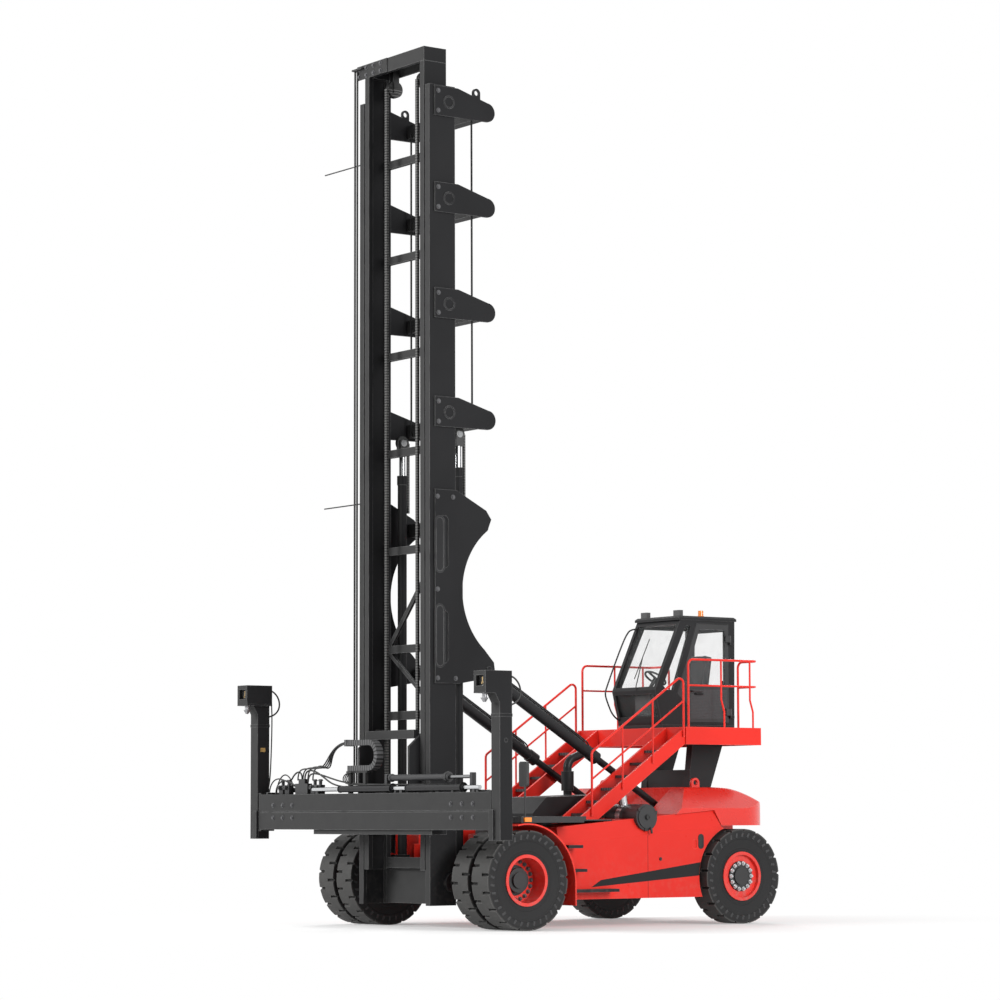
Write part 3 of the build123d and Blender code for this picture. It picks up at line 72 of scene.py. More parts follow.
def at(x, y, z):
    """A point given from the drive axle, in the machine's frame."""
    return Vector((x, y + AXLE_Y, z))


def in_cab(x, y, z):
    """A point given from the front edge of the cab's floor, in the machine's frame."""
    return at(x, CAB_Y + y, CAB_FLOOR + z)


# Sizes and colours that a user would change

def colour_prop(name, description, value):
    return bpy.props.FloatVectorProperty(name=name, description=description, subtype="COLOR", size=3,
                                         min=0, max=1, default=value)


def length_prop(name, description, value):
    return bpy.props.FloatProperty(name=name, description=description, unit="LENGTH", default=value)


def angle_prop(name, description, degrees):
    return bpy.props.FloatProperty(name=name, description=description, subtype="ANGLE",
                                   default=math.radians(degrees))


class HandlerFinishes(bpy.types.PropertyGroup):
    red: colour_prop("Red paint", "Body, stairs, rails and rims", (0.7, 0.024, 0.015))
    charcoal: colour_prop("Charcoal paint", "Mast, carriage and spreader", (0.021, 0.021, 0.022))
    black: colour_prop("Black paint", "Cab, hood, axles and steps", (0.012, 0.012, 0.013))
    rubber: colour_prop("Tyre rubber", "Tyres", (0.013, 0.013, 0.0135))
    deck: colour_prop("Antislip deck", "Walkway plates", (0.30, 0.29, 0.29))
    amber: colour_prop("Amber lens", "Beacon and side markers", (0.9, 0.25, 0.02))


class HandlerFittings(bpy.types.PropertyGroup):
    bolt: length_prop("Bolt", "Radius of the structural bolts", 0.024)
    nut: length_prop("Wheel nut", "Radius of a wheel nut", 0.021)
    pipe: length_prop("Pipe", "Radius of the oil pipes", 0.012)
    ribs: bpy.props.IntProperty(name="Tyre ribs", description="Ribs round each tyre shoulder", default=34)


class HandlerStage(bpy.types.PropertyGroup):
    lens: bpy.props.FloatProperty(name="Lens", description="Focal length", unit="CAMERA", default=117.4)
    eye: bpy.props.FloatVectorProperty(name="Eye", description="Camera place", subtype="TRANSLATION",
                                       size=3, default=(37.39, -28.184, 1.542))
    yaw: angle_prop("Yaw", "Turn about Z", 53.716)
    pitch: angle_prop("Pitch", "Upward tilt", 5.528)
    roll: angle_prop("Roll", "Turn about the view", -0.178)


def chosen(name):
    """A colour as the user has set it."""
    return tuple(getattr(bpy.context.scene.handler_finishes, name))


# Shader maths

class Wire:
    """A socket that takes part in Python expressions."""

    def __init__(self, finish, socket):
        self.finish = finish
        self.socket = socket

    def _math(self, operation, *values):
        settings = {"operation": operation}
        return self.finish.add("ShaderNodeMath", settings, dict(enumerate(values)))[0]

    def __add__(self, other):
        return self._math("ADD", self, other)

    def __sub__(self, other):
        return self._math("SUBTRACT", self, other)

    def __rsub__(self, other):
        return self._math("SUBTRACT", other, self)

    def __mul__(self, other):
        return self._math("MULTIPLY", self, other)

    def __truediv__(self, other):
        return self._math("DIVIDE", self, other)

    def __gt__(self, other):
        return self._math("GREATER_THAN", self, other)

    def __lt__(self, other):
        return self._math("LESS_THAN", self, other)

    def __abs__(self):
        return self._math("ABSOLUTE", self)

    def root(self):
        return self._math("SQRT", self)

    def ping(self, length):
        return self._math("PINGPONG", self, length)

    def ramp(self, low, high):
        """0 below low, 1 above high, smooth between."""
        settings = {"interpolation_type": "SMOOTHSTEP"}
        sockets = {"Value": self, "From Min": low, "From Max": high}
        return self.finish.add("ShaderNodeMapRange", settings, sockets)[0]

    __radd__ = __add__
    __rmul__ = __mul__


class Finish:
    """One node material, or the world, and the few ways it is put together."""

    def __init__(self, name, world=None):
        self.material = world or bpy.data.materials.new(name)
        self.material.use_nodes = True
        self.tree = self.material.node_tree
        self.tree.nodes.clear()
        place = self.add("ShaderNodeTexCoord")
        self.place = place["Object"]
        self.facing = place["Normal"]
        split = self.add("ShaderNodeSeparateXYZ", {}, {"Vector": self.place})
        self.x, self.y, self.z = split["X"], split["Y"], split["Z"]

    def add(self, kind, settings=None, sockets=None):
        """Add a node, set it up, and give back its outputs by name or number."""
        node = self.tree.nodes.new(kind)
        for key, value in (settings or {}).items():
            setattr(node, key, value)
        for key, value in (sockets or {}).items():
            socket = node.inputs[key]
            if isinstance(value, Wire):
                self.tree.links.new(value.socket, socket)
            elif socket.type == "RGBA":
                socket.default_value = (*value, 1)
            else:
                socket.default_value = value
        return Outlets(self, node)

    def noise(self, scale, detail, stretch=None):
        where = self.place
        if stretch:
            where = self.add("ShaderNodeMapping", {}, {"Vector": self.place, "Scale": stretch})["Vector"]
        return self.add("ShaderNodeTexNoise", {},
                        {"Vector": where, "Scale": scale, "Detail": detail})["Fac"]

    def blend(self, mask, low, high):
        """Colour low where the mask is 0 and high where it is 1."""
        return self.add("ShaderNodeMix", {"data_type": "RGBA"}, {0: mask, 6: low, 7: high})[2]

    def bump(self, height, distance, strength):
        return self.add("ShaderNodeBump", {},
                        {"Height": height, "Distance": distance, "Strength": strength})["Normal"]

    def peel(self, scale=260):
        """The faint orange peel of sprayed paint."""
        return self.bump(self.noise(scale, 2), 0.00012, 0.6)

    def component(self, direction, axis):
        """One component of a direction."""
        return self.add("ShaderNodeSeparateXYZ", {}, {"Vector": direction})[axis]

    def from_line(self, y, z):
        """Squared distance from a line along X."""
        dy = self.y - y
        dz = self.z - z
        return dy * dy + dz * dz

    def edges(self, reach):
        """1 along the corners of the solid and 0 on its flats, within a reach of the corner."""
        flat = self.add("ShaderNodeNewGeometry")["Normal"]
        round_off = self.add("ShaderNodeBevel", {"samples": 4}, {"Radius": reach})["Normal"]
        along = self.add("ShaderNodeVectorMath", {"operation": "DOT_PRODUCT"},
                         {0: flat, 1: round_off})["Value"]
        return 1 - along.ramp(0.72, 0.97)

    def surface(self, **values):
        names = {key.replace("_", " ").title(): value for key, value in values.items()}
        names = {key.replace("Ior", "IOR"): value for key, value in names.items()}
        shader = self.add("ShaderNodeBsdfPrincipled", {}, names)
        self.add("ShaderNodeOutputMaterial", {}, {"Surface": shader["BSDF"]})
        return self.material


class Outlets:
    """A node's outputs, ready for expressions."""

    def __init__(self, finish, node):
        self.finish = finish
        self.node = node

    def __getitem__(self, key):
        return Wire(self.finish, self.node.outputs[key])


def shade(colour, factor):
    return tuple(min(1.0, c * factor) for c in colour)


def rows(across, along, pitch):
    """Rows of round bumps, 0 between them and 1 on top of each."""
    return across.ping(pitch) * along.ping(pitch) / pitch ** 2


# Finishes

def dusty(finish, colour, amount):
    """Paint tone with slow variation, fine mottle and a little road dust low down."""
    slow = finish.noise(0.9, 2)
    fine = finish.noise(14, 4)
    tone = finish.blend(slow.ramp(0.3, 0.7), shade(colour, 0.92), shade(colour, 1.06))
    low = (1 - finish.z.ramp(0.15, 1.5)) * fine.ramp(0.42, 0.75) * amount
    return finish.blend(low, tone, (0.26, 0.23, 0.2))


def paint(name, colour, rough, dust, coat=0.1, shine=0.2, wear_and_highlight=None, dust_film_and_front_light=None):
    """Sprayed paint: orange peel, uneven gloss, dust low down, painted light on the faces that look
    forward, and pale corners that are part edge wear and part painted highlight.
    """
    f = Finish(name)
    gloss = f.noise(5, 4)
    tone = dusty(f, colour, dust)
    # Faces that look forward (-Y) are blended towards a lighter colour: painted light.
    if dust_film_and_front_light:
        front = 0 - f.component(f.facing, "Y")
        tone = f.blend(front.ramp(0.5, 0.9) * (0.7 + gloss * 0.5), tone, dust_film_and_front_light)
    # Corners take a paler colour in patches: part edge wear, part painted highlight.
    if wear_and_highlight:
        rubbed_and_highlit = f.edges(0.014) * f.noise(3, 4).ramp(0.25, 0.5)
        tone = f.blend(rubbed_and_highlit * 0.6, tone, wear_and_highlight)
    return f.surface(base_color=tone, roughness=rough + (gloss - 0.5) * 0.16, coat_weight=coat,
                     coat_roughness=0.12, specular_ior_level=shine, normal=f.peel())


def body_paint(name, colour, stripe):
    """Red paint with a dark wedge stripe along the lower side and one upright seam."""
    f = Finish(name)
    y = f.y - AXLE_Y
    tip_y, tip_z = 1.43, 0.554
    seam_y, seam_top = 2.435, 1.26
    lower = tip_z + (y - tip_y) * 0.0702
    upper = 0.650 + (y - 1.595) * 0.127
    behind_tip = (f.z - tip_z) * 1.72 < (y - tip_y)
    inside = (f.z > lower) * (f.z < upper) * (y < 3.44) * behind_tip
    side = abs(f.x) > 1.57
    seam = (abs(y - seam_y) < 0.004) * (f.z < seam_top) * side
    red = f.blend(seam, dusty(f, colour, 0.1), shade(colour, 0.25))
    tone = f.blend(inside * side, red, stripe)
    # Corners lighter red: painted highlight.
    tone = f.blend(f.edges(0.012) * 0.45, tone, (0.92, 0.2, 0.15))
    gloss = f.noise(5, 4)
    return f.surface(base_color=tone, roughness=0.3 + (gloss - 0.5) * 0.14, coat_weight=0.12,
                     coat_roughness=0.1, specular_ior_level=0.2, normal=f.peel())


def tyre_rubber(name, colour, axle_y):
    """Rubber with a fine grain, raised rings on the wall, lug edges lighter, part rubbing and part painted
    highlight, and a little dust.
    """
    f = Finish(name)
    grain = f.noise(120, 5)
    radius = f.from_line(axle_y, AXLE_Z).root()
    inner_ring = radius.ramp(0.39, 0.396) - radius.ramp(0.41, 0.416)
    outer_ring = radius.ramp(0.52, 0.53) - radius.ramp(0.55, 0.56)
    rings = inner_ring + outer_ring
    dust = f.noise(7, 4).ramp(0.45, 0.8) * radius.ramp(0.45, 0.66)
    tone = f.blend(radius.ramp(0.644, 0.66) * 0.75 + dust * 0.2, colour, (0.055, 0.054, 0.052))
    # Corners lighter grey: part rubbing, part painted highlight.
    tone = f.blend(f.edges(0.012) * 0.7, tone, (0.16, 0.157, 0.153))
    return f.surface(base_color=tone, roughness=0.62 + (grain - 0.5) * 0.25, specular_ior_level=0.25,
                     normal=f.bump(rings * 2 + grain * 0.3, 0.004, 0.6))


def rim_paint(name, colour, dark, axle_y, hub):
    """Red rim, dark inside the hub's radius from the axle line."""
    f = Finish(name)
    near = f.from_line(axle_y, AXLE_Z) < hub * hub
    tone = f.blend(near, dusty(f, colour, 0.3), dark)
    return f.surface(base_color=tone, roughness=0.36 + (f.noise(9, 3) - 0.5) * 0.2, coat_weight=0.2,
                     normal=f.peel(240))


def chrome(name):
    """Hard chromed rod with faint drawn lines."""
    f = Finish(name)
    lines = f.noise(90, 3, (1, 1, 0.05))
    return f.surface(base_color=CHROME, metallic=1.0, roughness=0.22 + (lines - 0.5) * 0.12,
                     normal=f.bump(lines, 0.0002, 0.2))


def lift_rod(name):
    """Chromed rod under a dark fork, with a bright axle end and oiled chain links behind."""
    f = Finish(name)
    fork_y, axle_z, rod_top = AXLE_Y - 0.165, 6.83, 6.66
    rod_back = fork_y + 0.075
    hub = f.from_line(fork_y, axle_z) < 0.05 ** 2
    bare = (f.z < rod_top) * (f.y < rod_back)
    bright = 1 - (1 - bare) * (1 - hub)
    plate = (f.z.ping(CHAIN_PITCH) / CHAIN_PITCH).ramp(0.3, 0.5) * (f.y > rod_back)
    tone = f.blend(plate, (0.016, 0.016, 0.016), CHAIN_PLATE)
    tone = f.blend(bright, tone, CHROME)
    lines = f.noise(90, 3, (1, 1, 0.05))
    return f.surface(base_color=tone, metallic=bright,
                     roughness=0.45 - bright * 0.22 + (lines - 0.5) * 0.12,
                     normal=f.bump(plate, 0.006, 0.9))


def piped(name, colour):
    """Charcoal paint with bright steel along the two long pipes on the beam."""
    f = Finish(name)
    reach = 0.0316 ** 2
    near = f.from_line(AXLE_Y + FRONT_PIPE_Y, BEAM_PIPE_Z) < reach
    near += f.from_line(AXLE_Y + REAR_PIPE_Y, BEAM_PIPE_Z) < reach
    grain = f.noise(90, 3, (0.05, 1, 1))
    return f.surface(base_color=f.blend(near, colour, (0.62, 0.63, 0.64)), metallic=near,
                     roughness=0.42 - near * 0.16 + (grain - 0.5) * 0.14, normal=f.bump(grain, 0.0003, 0.4))


def canister(name, colour):
    """Black moulded drum with a bright clamping band."""
    f = Finish(name)
    band = (abs(f.x) > 1.13) * (abs(f.x) < 1.235)
    grain = f.noise(300, 2)
    tone = f.blend(band, colour, (0.55, 0.55, 0.56))
    return f.surface(base_color=tone, metallic=band, roughness=0.42 - band * 0.12 + (grain - 0.5) * 0.2,
                     normal=f.bump(grain, 0.0005, 0.5))


def bare_steel(name, colour, rough):
    """Steel with a rolled grain."""
    f = Finish(name)
    grain = f.noise(60, 4)
    tone = f.blend(grain.ramp(0.35, 0.75), shade(colour, 0.75), shade(colour, 1.15))
    return f.surface(base_color=tone, metallic=0.9, roughness=rough + (grain - 0.5) * 0.25,
                     normal=f.bump(grain, 0.0006, 0.4))


def leaf_chain(name):
    """Oiled leaf chain: fine link plates along the run, and plain sheaves at the head."""
    f = Finish(name)
    band = f.z.ping(CHAIN_PITCH) / CHAIN_PITCH
    run = 1 - f.z.ramp(11.86, 11.88)
    plate = band.ramp(0.3, 0.5) * run
    tone = f.blend(plate, (0.014, 0.014, 0.014), CHAIN_PLATE)
    return f.surface(base_color=tone, metallic=0.4, roughness=0.45 + (f.noise(80, 3) - 0.5) * 0.2,
                     normal=f.bump(plate, 0.006, 0.9))


def link_chain(name):
    """Moulded link chain: ribs across the straight runs and round the bend."""
    f = Finish(name)
    bend_x, bend_z, bend_radius = -0.14, 2.38, 0.2
    pitch = 0.028
    turn = f.add("ShaderNodeMath", {"operation": "ARCTAN2"}, {0: f.z - bend_z, 1: f.x - bend_x})[0]
    bend = f.x > bend_x
    along = bend * turn * bend_radius + (1 - bend) * f.x
    rib = (along.ping(pitch) / pitch).ramp(0.25, 0.45)
    on_chain = f.z > 2.166
    # The ribs are a lighter black than the gaps between them: painted highlight on the ribs.
    tone = f.blend(rib * on_chain, (0.004, 0.004, 0.004), (0.07, 0.07, 0.072))
    return f.surface(base_color=tone, roughness=0.45 + (f.noise(70, 3) - 0.5) * 0.2,
                     normal=f.bump(rib * on_chain, 0.012, 0.9))


def antislip(name, pale, dark):
    """Pale raised-stud plate on top and dark painted edges."""
    f = Finish(name)
    studs = rows(f.x, f.y, 0.02)
    top = f.component(f.add("ShaderNodeNewGeometry")["Normal"], "Z") > 0.7
    wear_and_highlight = f.noise(6, 4).ramp(0.35, 0.7)
    plate = f.blend(wear_and_highlight, shade(pale, 0.82), shade(pale, 1.1))
    return f.surface(base_color=f.blend(top, dark, plate), roughness=0.55 + (f.noise(40, 3) - 0.5) * 0.3,
                     metallic=top * 0.35, normal=f.bump(studs.ramp(0.35, 0.7), 0.004, 0.7))


def tread_plate(name, colour):
    """Black open-grip tread: rows of round teeth."""
    f = Finish(name)
    teeth = rows(f.x, f.y, 0.028).ramp(0.3, 0.6)
    return f.surface(base_color=f.blend(teeth, shade(colour, 0.55), shade(colour, 1.9)),
                     roughness=0.5 + (f.noise(30, 3) - 0.5) * 0.2, normal=f.bump(teeth, 0.006, 0.9))


def moulded(name, colour, rough=0.55):
    """Fine-grained plastic or rubber."""
    f = Finish(name)
    grain = f.noise(420, 2)
    tone = f.blend(f.noise(3, 3).ramp(0.35, 0.7), shade(colour, 0.9), shade(colour, 1.12))
    return f.surface(base_color=tone, roughness=rough + (grain - 0.5) * 0.2,
                     normal=f.bump(grain, 0.0006, 0.5))


def pane(name, colour):
    """Lightly tinted glass with a faint film of dust."""
    f = Finish(name)
    dust_film_and_front_light = f.noise(4, 4).ramp(0.4, 0.8)
    return f.surface(base_color=colour, roughness=0.03, alpha=0.05 + dust_film_and_front_light * 0.04, coat_weight=0.5)


def cloth(name, colour):
    """Woven seat cloth."""
    f = Finish(name)
    weave = rows(f.x, f.z, 0.004)
    return f.surface(base_color=f.blend(weave.ramp(0.2, 0.7), shade(colour, 0.7), shade(colour, 1.25)),
                     roughness=0.9, sheen_weight=0.3, normal=f.bump(weave, 0.001, 0.6))


def door_paint(name, colour):
    """Black door paint; the lower panel is punched with rows of small holes."""
    f = Finish(name)
    y = f.y - AXLE_Y
    panel = (y > 4.15) * (y < 4.84) * (f.z > 2.95) * (f.z < 3.38)
    holes = rows(f.y, f.z, 0.011).ramp(0.35, 0.5) * panel
    tone = f.blend(panel, colour, shade(colour, 3.0))
    tone = f.blend(holes, tone, (0.003, 0.003, 0.003))
    return f.surface(base_color=tone, roughness=0.42 + (f.noise(6, 4) - 0.5) * 0.2, coat_weight=0.15,
                     normal=f.bump(1 - holes, 0.003, 0.8))


def lenses(name, amber):
    """Amber lenses, with dark-bodied work lamps on the roof and red tail lamps."""
    f = Finish(name)
    ribs = f.x.ping(0.006) / 0.006
    tail = f.y > AXLE_Y + 4.7
    work = (f.z > 4.2) * (f.y < AXLE_Y + 4.2)
    tone = f.blend(work, f.blend(tail, amber, (0.5, 0.02, 0.015)), (0.02, 0.02, 0.021))
    return f.surface(base_color=tone, roughness=0.16 + ribs * 0.1, coat_weight=0.8,
                     normal=f.bump(ribs, 0.001, 0.6))


class HANDLER_OT_finishes(bpy.types.Operator):
    """Give every solid of the machine its paint, rubber, steel or glass"""
    bl_idname = "handler.finishes"
    bl_label = "Finishes"

    def execute(self, context):
        red, charcoal, black = chosen("red"), chosen("charcoal"), chosen("black")
        body = body_paint("red_body", red, shade(black, 0.8))
        # In the paint calls, the colour after the shine is for the pale corners, part edge wear and part
        # painted highlight; the charcoal's last colour is painted light on its forward-facing faces.
        plain = paint("red_paint", red, 0.34, 0.1, wear_and_highlight=RED_EDGE)
        mast = paint("charcoal_paint", charcoal, 0.45, 0.06, 0.0, 0.03, (0.24, 0.24, 0.24),
                     (0.045, 0.045, 0.045))
        weight = paint("weight_paint", red, 0.28, 0.1, 0.45, 0.35, RED_EDGE)
        dark = paint("black_paint", black, 0.4, 0.15, 0.05, 0.2, (0.12, 0.12, 0.12))
        plastic = moulded("black_plastic", (0.02, 0.02, 0.021))
        drive_rubber = tyre_rubber("drive_rubber", chosen("rubber"), AXLE_Y)
        steer_rubber = tyre_rubber("steer_rubber", chosen("rubber"), STEER_Y)
        glass = pane("cab_pane", (0.3, 0.32, 0.32))
        drive_rim = rim_paint("drive_rim", red, black, AXLE_Y, 0.205)
        steer_rim = rim_paint("steer_rim", red, black, STEER_Y, 0.214)
        table = {
            body: ("side_bodies",),
            plain: ("chassis_frame", "fenders", "stair_stringers", "platform", "handrails"),
            weight: ("counterweight", "ballast_block"),
            mast: ("mast_outer_left", "mast_outer_right", "mast_horns", "mast_outer_ties", "lift_barrels",
                   "mast_inner_left", "mast_inner_right", "mast_inner_ties", "carriage", "spreader_beam",
                   "spreader_arm_left", "spreader_arm_right"),
            dark: ("drive_axle", "steer_axle", "engine_hood", "exhaust", "cab_pillar", "cab_base",
                   "cab_frame", "cab_roof", "knuckle_left", "knuckle_right", "side_steps", "tilt_barrels",
                   "tilt_rods"),
            door_paint("door_paint", black): ("cab_door",),
            plastic: ("cab_console", "mirrors"),
            canister("air_cleaner", (0.018, 0.018, 0.019)): ("air_cleaner",),
            piped("spreader_pipework", charcoal): ("spreader_gear",),
            drive_rubber: ("drive_tyres_left", "drive_tyres_right"),
            steer_rubber: ("steer_tyre_left", "steer_tyre_right"),
            drive_rim: ("drive_rims_left", "drive_rims_right"),
            steer_rim: ("steer_rim_left", "steer_rim_right"),
            glass: ("cab_glass", "door_glass"),
            lift_rod("lift_rod"): ("lift_rods",),
            leaf_chain("leaf_chain"): ("lift_chains",),
            link_chain("energy_link"): ("energy_chain",),
            antislip("antislip_deck", chosen("deck"), black): ("deck_plates",),
            tread_plate("grip_tread", (0.03, 0.03, 0.031)): ("stair_treads",),
            moulded("hose_cover", (0.012, 0.012, 0.012), 0.6): ("mast_hoses",),
            bare_steel("cast_block", (0.12, 0.12, 0.125), 0.6): ("engine_block",),
            bare_steel("lock_steel", (0.35, 0.35, 0.36), 0.35): ("twistlock_left", "twistlock_right"),
            cloth("seat_cloth", (0.03, 0.03, 0.033)): ("cab_seat",),
            lenses("lens", chosen("amber")): ("lamps",),
        }
        for material, names in table.items():
            for name in names:
                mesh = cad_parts[name].data
                mesh.materials.clear()
                mesh.materials.append(material)
        left_out = [name for name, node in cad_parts.items() if node.data.materials[0] not in table]
        if left_out:
            raise RuntimeError("no finish for " + ", ".join(left_out))
        return {"FINISHED"}


# Ways to make a fitting

def leave_edit():
    bpy.ops.object.mode_set(mode="OBJECT")


def bevel(offset, segments):
    bpy.ops.mesh.bevel(offset=offset, segments=segments, affect="EDGES")


def unpick():
    """Back to object mode with nothing selected."""
    if bpy.context.object and bpy.context.object.mode != "OBJECT":
        leave_edit()
    bpy.ops.object.select_all(action="DESELECT")


def pick_only(piece):
    """Make a piece the only selected one and the active one."""
    unpick()
    piece.select_set(True)
    bpy.context.view_layer.objects.active = piece


def fix_place():
    """Put the active piece's place, turn and scale into its mesh."""
    bpy.ops.object.transform_apply(location=True, rotation=True, scale=True)


def clear_picks(piece):
    """Unselect every point, edge and face of a piece, and give back its mesh."""
    leave_edit()
    mesh = piece.data
    for part in (mesh.vertices, mesh.edges, mesh.polygons):
        part.foreach_set("select", [False] * len(part))
    return mesh


def pick_faces(piece, test):
    """Select the faces whose normal passes the test, in edit mode."""
    for face in clear_picks(piece).polygons:
        face.select = test(face.normal)
    bpy.ops.object.mode_set(mode="EDIT")
    bpy.ops.mesh.select_mode(type="FACE")


def pick_edges(piece, test):
    """Select the edges whose direction passes the test, in edit mode."""
    mesh = clear_picks(piece)
    for edge in mesh.edges:
        start, end = (mesh.vertices[i].co for i in edge.vertices)
        edge.select = test((end - start).normalized())
    bpy.ops.object.mode_set(mode="EDIT")
    bpy.ops.mesh.select_mode(type="EDGE")


def push(x, y, z):
    """Extrude the selected faces by an offset."""
    bpy.ops.mesh.extrude_region_move(TRANSFORM_OT_translate={"value": (x, y, z)})


def join(pieces):
    """One piece out of several; the first one stays."""
    unpick()
    for piece in pieces:
        piece.select_set(True)
    bpy.context.view_layer.objects.active = pieces[0]
    if len(pieces) > 1:
        bpy.ops.object.join()
    return bpy.context.object


def drop(model):
    pick_only(model)
    bpy.ops.object.delete()


def settle(piece, name, material, body):
    """Name a finished piece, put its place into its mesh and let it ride."""
    pick_only(piece)
    fix_place()
    piece.name = name
    piece.data.name = name
    piece.data.materials.clear()
    piece.data.materials.append(material)
    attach(piece, body)


def aimed(point, direction):
    """A place whose Z axis points in a direction."""
    turn = Vector(direction).to_track_quat("Z", "Y").to_matrix().to_4x4()
    return Matrix.Translation(point) @ turn


def copies_at(model, places):
    """Copies of a model piece, each with its own mesh."""
    copies = []
    for place in places:
        twin = model.copy()
        twin.data = model.data.copy()
        twin.matrix_world = place
        bpy.context.collection.objects.link(twin)
        copies.append(twin)
    return copies


def scatter(model, places):
    """Copies of a model piece joined into one; places are (point, direction)."""
    joined = join(copies_at(model, [aimed(*place) for place in places]))
    fix_place()
    return joined


def ring(centre, radius, count, direction):
    """Places round a circle about an X axle line."""
    turns = [2 * math.pi * i / count for i in range(count)]
    return [(centre + Vector((0, radius * math.cos(turn), radius * math.sin(turn))), direction)
            for turn in turns]


def hex_bolt(radius, height):
    """One hexagon head on a washer, along +Z from the origin."""
    unpick()
    bpy.ops.mesh.primitive_cylinder_add(vertices=14, radius=radius * 1.45, depth=height * 0.3,
                                        location=(0, 0, height * 0.15))
    washer = bpy.context.object
    unpick()
    bpy.ops.mesh.primitive_cylinder_add(vertices=6, radius=radius, depth=height * 0.8,
                                        location=(0, 0, height * 0.7))
    head = bpy.context.object
    pick_faces(head, lambda normal: normal.z > 0.9)
    bevel(radius * 0.16, 1)
    join([head, washer])
    fix_place()
    return head


def bent_pipe(points, radius, order=4, place=at):
    """A round pipe along a smooth curve led by the points, made a mesh; a higher order rounds it more."""
    unpick()
    curve = bpy.data.curves.new("pipe", "CURVE")
    curve.dimensions = "3D"
    curve.bevel_depth = radius
    curve.bevel_resolution = 3
    curve.resolution_u = 6
    curve.use_fill_caps = True
    line = curve.splines.new("NURBS")
    line.points.add(len(points) - 1)
    for spot, point in zip(line.points, points):
        spot.co = (*place(*point), 1)
    line.order_u = order
    line.use_endpoint_u = True
    pipe = bpy.data.objects.new("pipe", curve)
    bpy.context.collection.objects.link(pipe)
    pick_only(pipe)
    bpy.ops.object.convert(target="MESH")
    return bpy.context.object


def plain_box(centre, size):
    unpick()
    bpy.ops.mesh.primitive_cube_add(size=1, location=centre)
    box = bpy.context.object
    box.scale = size
    fix_place()
    return box


def rounded_block(low, high, round_off):
    """A box between two corners with all its edges rounded."""
    low, high = Vector(low), Vector(high)
    piece = plain_box((low + high) / 2, high - low)
    pick_edges(piece, lambda along: True)
    bevel(round_off, 2)
    leave_edit()
    return piece


def side_slot(centre, width, height, thick, dish):
    """An upright long-hole cover on a side wall, with a raised or sunk middle."""
    sign = math.copysign(1, centre.x)
    piece = plain_box(centre + Vector((sign * thick / 2, 0, 0)), (thick, width, height))
    pick_edges(piece, lambda along: abs(along.x) > 0.9)
    bevel(width * 0.49, 8)
    pick_faces(piece, lambda normal: normal.x * sign > 0.9)
    bpy.ops.mesh.inset(thickness=width * 0.14)
    push(sign * dish, 0, 0)
    leave_edit()
    return piece


def collared_bar(start, end, radius, collar):
    """A round bar between points from the drive axle; its ends have a collar and a sunk face."""
    unpick()
    start, end = at(*start), at(*end)
    half = (end - start).length / 2
    bpy.ops.mesh.primitive_cylinder_add(vertices=24, radius=radius, depth=2 * half)
    piece = bpy.context.object
    grow = (radius + collar) / radius
    for sign in (1, -1):
        pick_faces(piece, lambda normal: normal.z * sign > 0.9)
        push(0, 0, 0)
        bpy.ops.transform.resize(value=(grow, grow, 1), center_override=(0, 0, sign * half))
        push(0, 0, sign * 2.5 * collar)
        bpy.ops.mesh.inset(thickness=radius * 0.4)
        push(0, 0, -sign * collar)
    leave_edit()
    bpy.ops.object.shade_smooth_by_angle(angle=math.radians(35))
    piece.matrix_world = aimed((start + end) / 2, end - start)
    fix_place()
    return piece


# Small fittings

class HANDLER_OT_bolts(bpy.types.Operator):
    """Wheel nuts and the bolts of the mast, head plate and spreader"""
    bl_idname = "handler.bolts"
    bl_label = "Bolts and nuts"

    def execute(self, context):
        sizes = context.scene.handler_fittings
        bright = bare_steel("bright_nut", (0.62, 0.62, 0.63), 0.28)
        # Bolt paint is the charcoal four times lighter: painted highlight on the bolt heads.
        painted = paint("bolt_paint", shade(chosen("charcoal"), 4), 0.4, 0.1)
        nut = hex_bolt(sizes.nut, 0.034)
        bolt = hex_bolt(sizes.bolt, 0.022)
        forward = (0, -1, 0)
        for side, sign in SIDES:
            out = (sign, 0, 0)
            spots = ring(at(sign * 1.642, WHEELBASE, AXLE_Z), 0.185, 14, out)
            settle(scatter(nut, spots), "steer_nuts_" + side, bright, "steer_wheel_" + side)
            spots = ring(at(sign * 1.760, 0, AXLE_Z), 0.262, 20, out)
            settle(scatter(nut, spots), "drive_nuts_" + side, painted, "drive_wheels_" + side)
        mast_spots = []
        beam_spots = []
        for sign in (1, -1):
            out = (sign, 0, 0)
            for z in (6.89, 8.405, 9.89, 11.25):
                for up in (0.07, 0.35):
                    mast_spots.append((at(sign * MAST_SIDE, -0.64, z + up), out))
            for y, z in ((-0.66, 3.42), (-0.66, 4.64), (-0.66, 5.92), (-0.40, 5.92), (-0.36, 3.42)):
                mast_spots.append((at(sign * MAST_SIDE, y, z), out))
            for x in (1.95, 2.2, 2.45):
                for z in (1.70, 1.52):
                    beam_spots.append((at(sign * x, -1.193, z), forward))
        head_spots = []
        for x in (-0.86, -0.68, -0.50, -0.32):
            for z in (12.09, 12.2):
                head_spots.append((at(x, -0.786, z), forward))
        settle(scatter(bolt, mast_spots), "mast_bolts", painted, "mast")
        settle(scatter(bolt, head_spots), "head_bolts", painted, "inner_mast")
        settle(scatter(bolt, beam_spots), "beam_bolts", painted, "spreader")
        drop(nut)
        drop(bolt)
        return {"FINISHED"}


